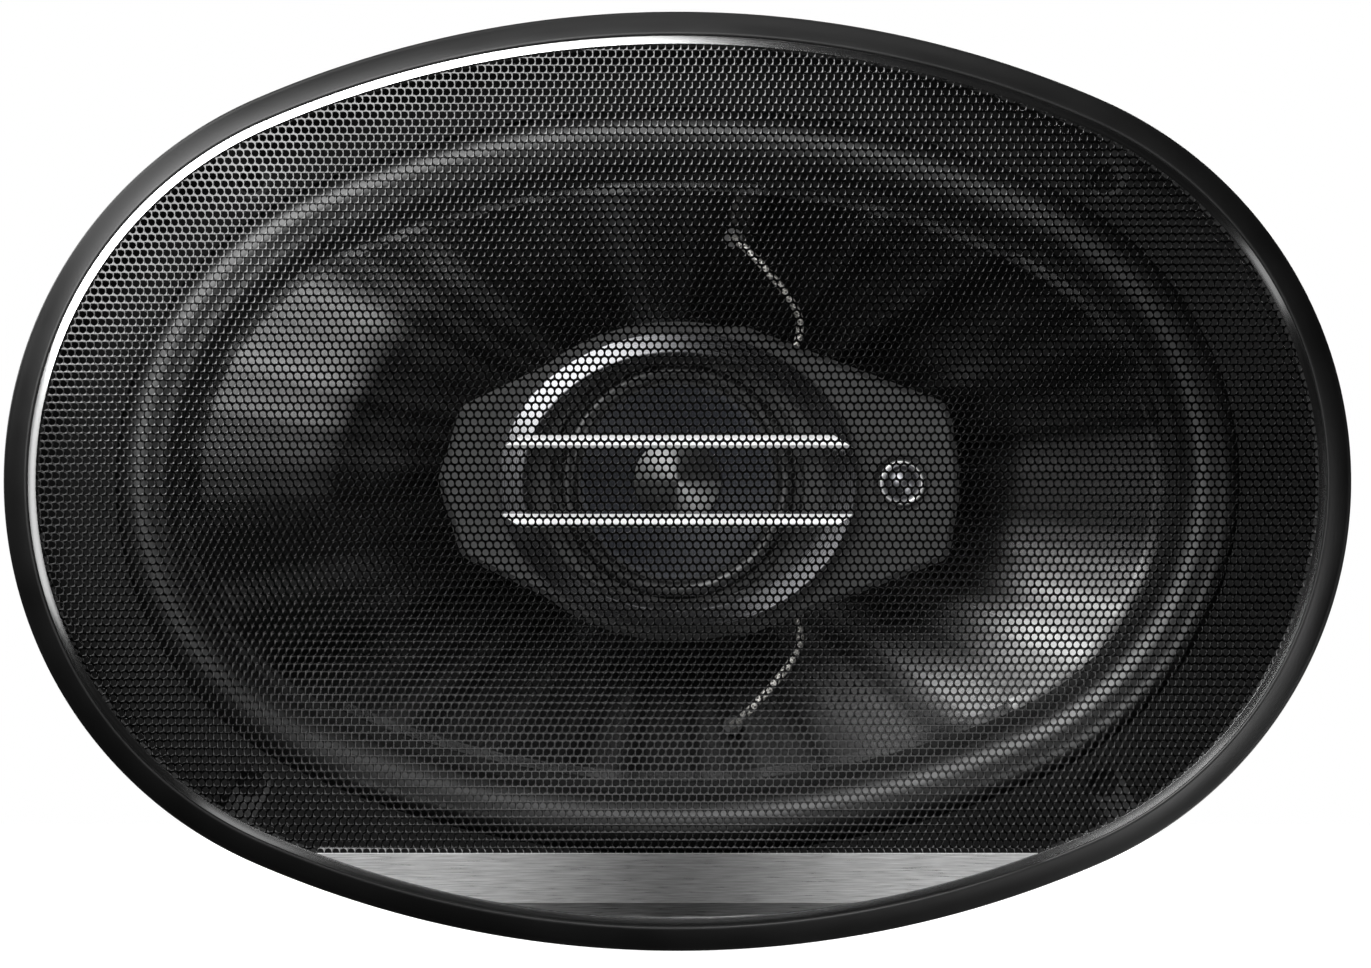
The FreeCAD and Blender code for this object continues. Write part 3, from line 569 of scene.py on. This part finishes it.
def tube_along(name, route, radius, sides=14):
    """A mesh cord that follows the smooth NURBS line whose control points are the route."""
    curve = bpy.data.curves.new(name + "_line", "CURVE")
    curve.dimensions = "3D"
    curve.resolution_u = 24
    spline = curve.splines.new("NURBS")
    spline.points.add(len(route) - 1)
    for point, where in zip(spline.points, place(route)):
        point.co = (*where, 1)
    spline.order_u = 3
    spline.use_endpoint_u = True
    guide = bpy.data.objects.new(name + "_line", curve)
    bpy.context.collection.objects.link(guide)
    bpy.context.view_layer.update()
    line = bpy.data.meshes.new_from_object(guide)
    path = np.array([vertex.co for vertex in line.vertices])
    bpy.data.objects.remove(guide)
    bpy.data.meshes.remove(line)
    ahead = np.gradient(path, axis=0)
    ahead /= np.linalg.norm(ahead, axis=1)[:, None]
    side = np.cross(ahead[0], (0.31, 0.2, 0.93))
    rows = []
    travelled = np.concatenate([[0], np.cumsum(np.linalg.norm(np.diff(path, axis=0), axis=1))])
    for point, direction in zip(path, ahead):
        side = side - direction * (side @ direction)
        side /= np.linalg.norm(side)
        other = np.cross(direction, side)
        angles = np.arange(sides) * 2 * math.pi / sides
        rows.append(point + radius / 1000 * (np.cos(angles)[:, None] * side
                                             + np.sin(angles)[:, None] * other))
    points = np.concatenate(rows)
    faces, uvs = grid_faces(sides, len(rows), False)
    uvs[:, :, 0] *= 2 * math.pi * radius / sides
    uvs[:, :, 1] = 1000 * travelled[uvs[:, :, 1].astype(int)]
    drawing = np.column_stack([points[:, 0], points[:, 2], -points[:, 1]]) * 1000
    return mesh_object(name, drawing, faces, uvs, 0), path, travelled[-1]


def make_lead(node, route, radius):
    lead, path, length = tube_along(node + "_cord", route, radius)
    fit(lead, None, "braid", BRAID, node)
    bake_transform(lead)


def mirrored(route):
    return [(x, -y, z) for x, y, z in route]


FRONT_ROUTE = [(21.41, 24.48, 2.0), (22.75, 28.03, 2.0), (20.5, 33.0, 6.5), (13.5, 41.0, 6.8),
               (10.0, 44.0, 3.22), (10.0, 44.0, -1.98)]
REAR_ROUTE = [(74.85, -5.0, -21.7), (72.65, -5.0, -17.89), (64.5, -5.2, -17.0),
              (56.0, -5.5, -22.5), (47.0, -5.8, -26.0), (38.1, -6.0, -25.9), (36.0, -6.0, -21.4)]
make_lead("front_lead_upper", FRONT_ROUTE, 0.7)
make_lead("front_lead_lower", mirrored(FRONT_ROUTE), 0.7)
make_lead("rear_lead_lower", REAR_ROUTE, 0.6)
make_lead("rear_lead_upper", mirrored(REAR_ROUTE), 0.6)


# ---------------------------------------------------------------- grille

MESH_RIM = 15.4
MESH_RISE = 6.1
HOLE_PITCH = 1.383
FIRST_ROW = 0.986
HOLE_SIDES = 8
CELL_CORNERS = 6


def sheet_height(depth):
    """Front of the grille's sheet: a flat rim, then a crown that levels out."""
    rim_edge, crown_edge = 5.8, 62.0
    span = crown_edge - rim_edge
    radius = (span ** 2 + MESH_RISE ** 2) / (2 * MESH_RISE)
    short = np.clip(crown_edge - depth, 0, span)
    return MESH_RIM + MESH_RISE - (radius - np.sqrt(radius ** 2 - short ** 2))


def round_webs(piece, points, front_ring, back_shared, back_ring, centre_x, centre_y):
    """Shade the webs as flat with a small lean at each hole's rim, and the walls as rounded in."""
    lean = 0.16
    step = 0.5
    x, y = points[:, 0], points[:, 1]
    slope_x = (sheet_height(GRILLE.depth(x + step, y)) - sheet_height(GRILLE.depth(x - step, y)))
    slope_y = (sheet_height(GRILLE.depth(x, y + step)) - sheet_height(GRILLE.depth(x, y - step)))
    normals = np.column_stack([-slope_x / (2 * step), -slope_y / (2 * step), np.ones(len(points))])
    rim, wall = slice(front_ring, back_shared), slice(back_ring, None)
    inward = np.column_stack([np.repeat(centre_x, HOLE_SIDES) - x[rim],
                              np.repeat(centre_y, HOLE_SIDES) - y[rim]])
    inward /= np.linalg.norm(inward, axis=1)[:, None]
    normals[rim, :2] += lean * inward
    normals[back_shared:back_ring, 2] *= -1
    normals[wall] = np.column_stack([inward, np.zeros(len(inward))])
    normals /= np.linalg.norm(normals, axis=1)[:, None]
    turned = np.column_stack([normals[:, 0], -normals[:, 2], normals[:, 1]])
    piece.data.normals_split_custom_set_from_vertices(turned)


def hole_places():
    """Every hole of the staggered rows: half-pitches along x, and the number of its row."""
    plain_rim, columns_each_way, rows_each_way = 4.4, 90, 62
    columns = np.arange(-columns_each_way, columns_each_way + 1)
    rows = np.arange(-rows_each_way, rows_each_way)
    column, row = (part.ravel() for part in np.meshgrid(columns, rows))
    half = 2 * column + row % 2
    keep = GRILLE.depth(half * HOLE_PITCH / 2, FIRST_ROW + row * HOLE_PITCH) > plain_rim
    return half[keep], row[keep]


def cell_triangles():
    """Triangles between a hole's rim and its cell's corners, as (number, whether on the rim).

    They go once round the hole, each a step on along the rim, r, or along the cell's edge, c.
    """
    rim, corner = 0, 1
    triangles = []
    for step in "rcrrcrcrcrrcrc":
        if step == "r":
            ahead = (rim + 1) % HOLE_SIDES
            triangles.append([(rim, True), (ahead, True), (corner, False)])
            rim = ahead
        else:
            ahead = (corner + 1) % CELL_CORNERS
            triangles.append([(rim, True), (ahead, False), (corner, False)])
            corner = ahead
    return triangles


def cell_faces(corners, front_ring, back_shared, back_ring):
    """Webs in front, webs behind and hole walls, as numbers of the sheet's points.

    The points are the cells' corners and, from front_ring, the holes' rims, and then the same
    behind, from back_shared and from back_ring.
    """
    hole = np.arange(corners.shape[1]) * HOLE_SIDES
    faces = []
    for triangle in cell_triangles():
        front, back = [], []
        for number, on_rim in triangle:
            if on_rim:
                front.append(front_ring + hole + number)
                back.append(back_ring + hole + number)
            else:
                front.append(corners[number])
                back.append(back_shared + corners[number])
        faces.append(np.column_stack(front[::-1]))
        faces.append(np.column_stack(back))
    for side in range(HOLE_SIDES):
        following = (side + 1) % HOLE_SIDES
        a, b = front_ring + hole + side, front_ring + hole + following
        c, d = back_ring + hole + following, back_ring + hole + side
        faces.append(np.column_stack([a, b, d]))
        faces.append(np.column_stack([b, c, d]))
    return np.concatenate(faces)


def perforated_piece(name, half, row):
    """Part of the sheet, every hole a real tapered hole between rounded webs."""
    front_radius, back_radius, tall = 0.615, 0.565, 1.06
    thickness, rim_drop = 0.5, 0.03
    keys = np.concatenate([np.column_stack(corner) for corner in (
        (half + 1, row), (half + 1, row + 1), (half, row + 1),
        (half - 1, row + 1), (half - 1, row), (half, row))])
    shared, places = np.unique(keys, axis=0, return_inverse=True)
    corners = places.reshape(CELL_CORNERS, len(half))
    edge = (shared[:, 0] * HOLE_PITCH / 2, FIRST_ROW + (shared[:, 1] - 0.5) * HOLE_PITCH)
    centre_x, centre_y = half * HOLE_PITCH / 2, FIRST_ROW + row * HOLE_PITCH
    angles = np.arange(HOLE_SIDES) * 2 * math.pi / HOLE_SIDES

    def ring(radius):
        x = (centre_x[:, None] + radius * np.cos(angles)).ravel()
        y = (centre_y[:, None] + tall * radius * np.sin(angles)).ravel()
        return x, y

    layers = []
    for (x, y), back in ((edge, 0), (ring(front_radius), rim_drop),
                         (edge, thickness), (ring(back_radius), thickness)):
        layers.append(np.column_stack([x, y, sheet_height(GRILLE.depth(x, y)) - back]))
    points = np.concatenate(layers)
    front_ring = len(layers[0])
    back_shared = front_ring + len(layers[1])
    back_ring = back_shared + len(layers[2])
    faces = cell_faces(corners, front_ring, back_shared, back_ring)
    piece = mesh_object(name, points, faces, None, 0)
    round_webs(piece, points, front_ring, back_shared, back_ring, centre_x, centre_y)
    return piece


def perforated_sheet():
    """The grille's sheet in quarters, which cast no shadow and show in no reflection.

    Light through so many small holes would otherwise reach the cone as noise.
    """
    half, row = hole_places()
    quarter = 2 * (half < 0) + (row < 0)
    for index, letter in enumerate("abcd"):
        chosen = quarter == index
        piece = perforated_piece("grille_mesh_" + letter, half[chosen], row[chosen])
        piece.visible_shadow = False
        piece.visible_glossy = False
        fit(piece, "grille", "black_mesh", MESH_BLACK, "grille_mesh")


def grille_frame():
    """Black outer ring: upright wall, rounded brow, and the slot and seat for trim and sheet."""
    wall, shoulder, brow = 1.8, 13.4, 16.05
    seat, slot = MESH_RIM - 0.82, MESH_RIM + 0.02
    section = [(0, 0.3)]
    section += arc((0, shoulder - 0.5), (-0.13, shoulder - 0.12), (-0.45, shoulder + 0.1), 4)
    section += arc((-0.45, shoulder + 0.1), (-2.2, shoulder + 1.6), (-3.9, brow), 14)[1:]
    section += [(-4.2, brow), (-4.3, brow - 0.08), (-4.3, slot), (-3.3, slot), (-3.3, seat),
                (-6.4, seat), (-6.4, seat - 1.0), (-wall, seat - 3.0), (-wall, 0.3)]
    ring = swept("grille_frame_ring", GRILLE.rail(480), section, 60)
    fit(ring, "grille", "black_frame", FRAME_BLACK, "grille_frame")


def grip_pads():
    """Eight pads round the inside of the frame's wall."""
    half_width = 6
    pad = [(-1.7, 0.6), (-1.7, 7.0), (-3.2, 7.0), (-3.2, 0.6)]
    rail = GRILLE.rail(720)
    for number, angle in enumerate((0, 35, 90, 145, 180, 215, 270, 325)):
        lean = math.radians(angle)
        across = np.abs(rail.at(0) @ (-math.sin(lean), math.cos(lean)))
        ahead = rail.at(0) @ (math.cos(lean), math.sin(lean)) > 0
        near = np.flatnonzero((across < half_width) & ahead)
        if near[-1] - near[0] > len(rail) / 2:
            near = np.roll(near, -int(np.argmax(np.diff(near))) - 1)
        block = []
        for out, z in softened(pad, 0.3):
            block.append(np.column_stack([rail.at(out)[near], np.full(len(near), z)]))
        points = np.array(block).transpose(1, 0, 2).reshape(-1, 3)
        faces, _ = grid_faces(len(block), len(near), False)
        piece = mesh_object("grip_pad_%d" % number, points, faces, None, 40)
        fit(piece, "grille", "black_frame", FRAME_BLACK)


def trim_ring():
    """Satin ring with a bevel that faces outwards."""
    low = MESH_RIM + 0.02
    section = softened([(-4.32, low), (-4.32, 15.78), (-5.85, 16.2), (-5.85, low)], 0.08)
    ring = swept("trim_ring", GRILLE.rail(480), section, 30)
    fit(ring, "grille", "satin_trim", TRIM_SATIN, "grille_trim_ring")


def name_plate():
    """Blank plate with a flat tilted front: level top edge, level crease, bevel below it."""
    top, crease, crease_front = -67.0, -76.0, 16.9
    tilt = math.tan(math.radians(10.5))
    bevel = math.tan(math.radians(22))
    seat_gap, edge_drop, crease_drop = 0.02, 0.12, 0.004
    rim = GRILLE.grown(-5.95).rail(2400).at(0)
    rim = rim[rim[:, 1] < top]
    rim = rim[np.argsort(rim[:, 0])]
    x = np.linspace(rim[0, 0], rim[-1, 0], 181)
    low = np.interp(x, rim[:, 0], rim[:, 1])
    middle = np.maximum(low, crease)

    def row(y, inset=0.0, back=False):
        if back:
            return np.column_stack([x, y, sheet_height(GRILLE.depth(x, y)) + seat_gap])
        rise = np.where(y > crease, tilt, bevel) * (y - crease)
        return np.column_stack([x, y, crease_front + rise - inset])

    rows = [row(np.full_like(x, top), back=True), row(np.full_like(x, top), edge_drop)]
    rows += [row(top - edge_drop + (middle - top + edge_drop) * share)
             for share in np.linspace(0, 1, 12)]
    rows += [row(middle + (low - middle) * share, crease_drop) for share in (0.02, 0.5, 1)]
    rows += [row(low, back=True)]
    rows += [row(low + (top - low) * share, back=True) for share in np.linspace(0.1, 0.9, 8)]
    points = np.concatenate(rows)
    count = len(x)
    faces = []
    for number in range(len(rows)):
        following = (number + 1) % len(rows)
        step = np.arange(count - 1)
        faces.append(np.column_stack([number * count + step, following * count + step,
                                      following * count + step + 1, number * count + step + 1]))
    plate = mesh_object("name_plate_blank", points, np.concatenate(faces), None, 12)
    fit(plate, "grille", "brushed_plate", PLATE_BRUSHED_PAINTED_SHEEN, "name_plate")


# ---------------------------------------------------------------- woofer

FLANGE_FRONT = 2.5
ROLL_WIDTH = 11.0
NECK_RADIUS = 13.6
NECK_BACK = -32.0
FORMER_RADIUS = 12.87


def surround():
    """Glossy half-roll, and the matt lips that glue it to the cone."""
    back, thickness, lip_width = FLANGE_FRONT + 0.02, 0.8, 2.2
    front = back + thickness
    middle, crest = ROLL_WIDTH / 2, front + 5.0
    roll = [(14.5, back), (14.5, front)]
    roll += arc((ROLL_WIDTH, front), (middle, crest), (0, front), 26)
    roll += [(0, back)]
    roll += arc((thickness, back), (middle, crest - thickness), (ROLL_WIDTH - thickness, back), 20)
    lip = [(0.05, back), (0.05, front - 0.01), (-lip_width + 0.1, front - 0.01),
           (-lip_width, front - 0.1), (-lip_width, back)]
    rail = CONE_EDGE.rail(360)
    for name, section, material in (("surround_roll", roll, SURROUND_RUBBER),
                                    ("surround_lip", lip, RUBBER)):
        ring = swept(name, rail, section, 50)
        fit(ring, None, "surround_rubber", material, "surround")
        bend_across(ring)


def cone():
    """Cone wall between its oval rim and its round neck, with grooves in its material."""
    thickness, rim_lap, steps = 0.9, 3.7, 90
    rim_back = FLANGE_FRONT - thickness
    rail = CONE_TOP.rail(360)
    top = rail.at(0)
    neck = NECK_RADIUS * np.column_stack([np.cos(rail.quarters), np.sin(rail.quarters)])

    def wall(share, lift):
        flat = neck + (top - neck) * share
        z = NECK_BACK + (rim_back - NECK_BACK) * share + lift
        return np.column_stack([flat, np.full(len(rail), z)])

    def rim(out, z):
        return np.column_stack([rail.at(out), np.full(len(rail), z)])

    rows = [wall(share, thickness) for share in np.linspace(0, 1, steps)]
    rows += [rim(rim_lap, FLANGE_FRONT), rim(rim_lap, rim_back)]
    rows += [wall(share, 0) for share in np.linspace(1, 0, 12)]
    collar = FORMER_RADIUS * np.column_stack([np.cos(rail.quarters), np.sin(rail.quarters)])
    for z in (NECK_BACK - 1.2, NECK_BACK + 1.0):
        rows.append(np.column_stack([collar, np.full(len(rail), z)]))
    piece = surface("cone_body", rows, 35)
    fit(piece, "woofer", "cone_black", CONE_BLACK, "cone")


def spider():
    """Corrugated disc from the coil's former out to the basket's ledge."""
    thickness, height, first, half_wave, waves = 0.5, 1.5, 16.0, 3.3, 8
    outer_edge, ledge = 47.3, -38.0
    base = ledge + 0.02
    upper, lower = [(FORMER_RADIUS, base + thickness)], []
    for index in range(waves):
        near = first + half_wave * index
        side = height if index % 2 == 0 else -height
        for level, line in ((base + thickness, upper), (base, lower)):
            line += arc((near, level), (near + half_wave / 2, level + side),
                        (near + half_wave, level), 6)[:-1]
    last = first + half_wave * waves
    upper += [(last, base + thickness), (outer_edge, base + thickness)]
    lower = [(FORMER_RADIUS, base)] + lower + [(last, base), (outer_edge, base)]
    section = upper + lower[::-1]
    rail = circle_rail()
    disc = swept("spider_disc", rail, section, 60)
    fit(disc, None, "spider_cloth", SPIDER_CLOTH, "spider")
    bend_across(disc)


def motor():
    """Rear plates and magnet, turned with eased edges."""
    rail = circle_rail(steps=200)
    magnet = softened([(17, -73), (44.2, -73), (45, -72.2), (45, -57.8), (44.2, -57),
                       (17, -57)], 0.3)
    fit(swept("magnet_ring", rail, magnet, 35), "frame", "ferrite", FERRITE, "magnet")
    yoke = softened([(3.2, -74.5), (6.5, -74.5), (6.5, -79), (40.5, -79), (42, -77.5), (42, -73),
                     (12.2, -73), (12.2, -50.8), (11.4, -50), (3.2, -50)], 0.3)
    fit(swept("yoke_turned", rail, yoke, 35), "frame", "black_steel", BLACK_STEEL, "yoke")


# ---------------------------------------------------------------- midrange and tweeter

def dome_section(radius, height, thickness, base, steps):
    """Half-section of a thin spherical cap; it stops just short of the axis."""
    ball = (radius ** 2 + height ** 2) / (2 * height)
    middle = base + height - ball
    reach = math.asin(radius / ball)
    outer = [(ball * math.sin(reach * k / steps), middle + ball * math.cos(reach * k / steps))
             for k in range(steps + 1)]
    inner = [(r * (1 - thickness / ball), middle + (z - middle) * (1 - thickness / ball))
             for r, z in outer]
    outer[0] = (0.01, outer[0][1])
    inner[0] = (0.01, inner[0][1])
    inner = [(r, max(z, base)) for r, z in inner]
    return outer + inner[::-1]


def midrange():
    """Half-roll suspension, cloth cone and metal dust cap, all turned."""
    rail = circle_rail()
    back, thickness, crest = 5.32, 0.3, 19.7
    front = back + thickness
    roll = [(17.6, back), (18.3, back)]
    roll += arc((18.3, back), (crest, back + 1.3), (21.1, back), 10)[1:]
    roll += [(22.5, back), (22.5, front), (21.3, front)]
    roll += arc((21.3, front), (crest, back + 1.7), (18.1, front), 12)[1:]
    roll += [(17.6, front)]
    edge = swept("mid_roll", rail, roll, 50)
    fit(edge, None, "surround_rubber", SURROUND_RUBBER, "mid_surround")
    bend_across(edge)

    wall = [(7.4, -1.4), (7.8, -1.4), (17.0, 4.7), (18.2, 4.9), (18.2, 5.3), (16.9, 5.2),
            (7.4, -1.0)]
    cone_piece = swept("mid_cone_body", rail, softened(wall, 0.15), 40)
    fit(cone_piece, "midrange", "mid_cone_cloth", MID_CLOTH, "mid_cone")

    cap = dome_section(7.9, 3.6, 0.35, -0.2, 24)
    fit(swept("mid_dome", rail, cap, 40), "midrange", "spun_metal", SPUN_METAL_PAINTED_QUARTERS, "mid_dust_cap")


def tweeter():
    """Bright ring and small dome on the housing's wing."""
    rail = circle_rail((40.5, -0.3), 96)
    base = 6.62
    ring = [(3.1, base), (4.2, base), (4.2, 7.4), (3.9, 7.8), (3.5, 7.8), (3.1, 7.3)]
    fit(swept("tweeter_ring_turned", rail, softened(ring, 0.12), 40), "frame", "tweeter_chrome",
        CHROME, "tweeter_ring")
    dome = dome_section(2.8, 1.5, 0.2, base, 16)
    fit(swept("tweeter_dome_skin", rail, dome, 40), "tweeter", "tweeter_film", TWEETER_FILM,
        "tweeter_dome")


def bezel():
    """Oval ring round the midrange: steep outside, broad sloping face, funnel inside."""
    easing, steps = 0.12, 320
    outline = [(32.6, 27.1, 8.0), (32.2, 26.8, 11.6), (28.1, 23.5, 13.2), (27.75, 23.2, 13.2),
               (26.3, 21.9, 6.0), (27.5, 22.8, 6.0)]
    eased = []
    for index, corner in enumerate(outline):
        corner = np.array(corner)
        for other in (outline[index - 1], outline[(index + 1) % len(outline)]):
            step = np.array(other) - corner
            reach = min(easing, 0.4 * np.linalg.norm(step))
            eased.append(corner + step * reach / np.linalg.norm(step))
    angles = np.arange(steps) * 2 * math.pi / steps
    rows = [np.column_stack([half_length * np.cos(angles), half_height * np.sin(angles),
                             np.full(len(angles), z)]) for half_length, half_height, z in eased]
    ring = surface("mid_bezel", rows, 25)
    fit(ring, "frame", "bezel_metal", BEZEL_METAL, "mid_trim_ring")


# ---------------------------------------------------------------- pieces kept from the CAD model

CAD_LOOKS = {
    "basket": BASKET_PAINT, "basket_rivets": PLATED_STEEL, "front_gasket": RUBBER,
    "rear_gasket": RUBBER, "top_plate": PLATED_STEEL, "post_screw": PLATED_STEEL,
    "centre_post": PLATED_STEEL, "housing": HOUSING_PLASTIC,
    "mid_bars": BAR_CHROME, "mid_frame": BLACK_STEEL, "mid_yoke": PLATED_STEEL,
    "mid_magnet": PLATED_STEEL, "mid_top_plate": PLATED_STEEL, "mid_voice_coil": COPPER,
    "tweeter_case": BLACK_STEEL, "tweeter_magnet": PLATED_STEEL, "tweeter_pole_plate": PLATED_STEEL,
    "tweeter_suspension": TWEETER_FILM, "tweeter_voice_coil": COPPER, "terminal_board": BOARD,
    "terminal_positive": TIN, "terminal_negative": TIN, "terminal_rivets": PLATED_STEEL,
    "capacitor_mid": CAPACITOR, "capacitor_tweeter": CAPACITOR, "cone_eyelets": BLACK_STEEL,
    "voice_coil_former": FORMER_METAL, "voice_coil": COPPER,
}


def dress_cad():
    """Give the CAD pieces that stay their finishes."""
    for node, material in CAD_LOOKS.items():
        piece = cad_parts[node]
        piece.data.materials.clear()
        piece.data.materials.append(material)


# ---------------------------------------------------------------- surroundings

def make_floor():
    """A plain white floor under the speaker.  It lets light and reflections through."""
    material, nodes, links, shader = blank("floor", (0.4, 0.4, 0.4), 0.0, 0.9,
                                           Specular_IOR_Level=0.0, Emission_Strength=0.94,
                                           Emission_Color=(1, 1, 1, 1))
    speckle = noise(nodes, links, (30, 30, 30), 3.0)
    links.new(tint(nodes, links, speckle, (0.39, 0.39, 0.39), (0.41, 0.41, 0.41)),
              shader.inputs["Base Color"])
    mesh = bpy.data.meshes.new("floor")
    radius, sides = 3.0, 96
    angles = [k * 2 * math.pi / sides for k in range(sides)]
    rim = [(radius * math.cos(angle), radius * math.sin(angle), FLOOR_Z) for angle in angles]
    mesh.from_pydata(rim, [], [tuple(range(sides))])
    mesh.materials.append(material)
    floor = bpy.data.objects.new("floor", mesh)
    floor.visible_shadow = False
    floor.visible_glossy = False
    floor.visible_diffuse = False
    bpy.context.collection.objects.link(floor)


def softbox(name, azimuth, off_axis, distance, size, brightness):
    """A soft light.  Azimuth is in the plane of the panel, from the right and counter-clockwise.

    off_axis is the angle from straight in front, size is (round the object, away from its
    axis), and brightness is how bright its face looks, with white paper in plain light at 1.
    """
    azimuth, off_axis = math.radians(azimuth), math.radians(off_axis)
    direction = Vector((math.sin(off_axis) * math.cos(azimuth), -math.cos(off_axis),
                        math.sin(off_axis) * math.sin(azimuth)))
    data = bpy.data.lights.new(name, "AREA")
    data.shape = "RECTANGLE"
    data.size, data.size_y = size
    data.energy = brightness * math.pi * size[0] * size[1]
    light = bpy.data.objects.new(name, data)
    light.location = direction * distance
    away = Vector((math.cos(off_axis) * math.cos(azimuth), math.sin(off_axis),
                   math.cos(off_axis) * math.sin(azimuth)))
    around = away.cross(direction)
    light.matrix_world = Matrix((
        (around.x, away.x, direction.x, light.location.x),
        (around.y, away.y, direction.y, light.location.y),
        (around.z, away.z, direction.z, light.location.z),
        (0, 0, 0, 1)))
    light.visible_camera = False
    bpy.context.collection.objects.link(light)


def make_lights():
    """A large key from the upper left, smaller boxes for single highlights, fills from behind."""
    softbox("key", 129, 43, 2.4, (1.5, 1.9), 9.0)
    softbox("key_side", 134, 82, 2.2, (1.2, 1.2), 2.1)
    softbox("key_left", 172, 32, 2.4, (1.3, 0.4), 1.8)
    softbox("key_top", 100, 42, 2.4, (0.5, 1.5), 2.0)
    softbox("north_east", 30, 38, 2.0, (0.2, 0.5), 0.6)
    softbox("south_east", -42, 54, 2.0, (1.4, 0.65), 5.2)
    softbox("south_east_low", -52, 35, 2.0, (0.5, 0.3), 0.45)
    softbox("east", -8, 54, 2.0, (0.7, 0.45), 1.6)
    softbox("south", 270, 15, 2.0, (0.7, 0.3), 2.3)
    softbox("south_west", 240, 38, 2.0, (0.25, 0.5), 0.5)
    softbox("top", 88, 84, 2.0, (1.2, 0.6), 1.6)
    softbox("behind_left", 148, 122, 2.2, (1.6, 1.2), 5.5)
    softbox("behind_right", -52, 118, 2.2, (1.2, 1.2), 3.2)
    softbox("behind", 60, 152, 2.4, (1.6, 1.6), 7.0)
    softbox("behind_low", 240, 155, 2.4, (1.2, 1.2), 4.0)


def make_world():
    """White to the camera and dim as a light, so that black parts stay black."""
    dim = 0.008
    world = bpy.data.worlds.new("studio")
    world.use_nodes = True
    nodes, links = world.node_tree.nodes, world.node_tree.links
    background = nodes["Background"]
    background.inputs["Color"].default_value = (1, 1, 1, 1)
    path = nodes.new("ShaderNodeLightPath")
    level = nodes.new("ShaderNodeMapRange")
    level.inputs["To Min"].default_value = dim
    level.inputs["To Max"].default_value = 1.0
    links.new(path.outputs["Is Camera Ray"], level.inputs["Value"])
    links.new(level.outputs["Result"], background.inputs["Strength"])
    bpy.context.scene.world = world
    bpy.context.scene.view_settings.view_transform = "Standard"


perforated_sheet()
grille_frame()
grip_pads()
trim_ring()
name_plate()
surround()
cone()
spider()
motor()
midrange()
bezel()
tweeter()
dress_cad()
make_floor()
make_lights()
make_world()
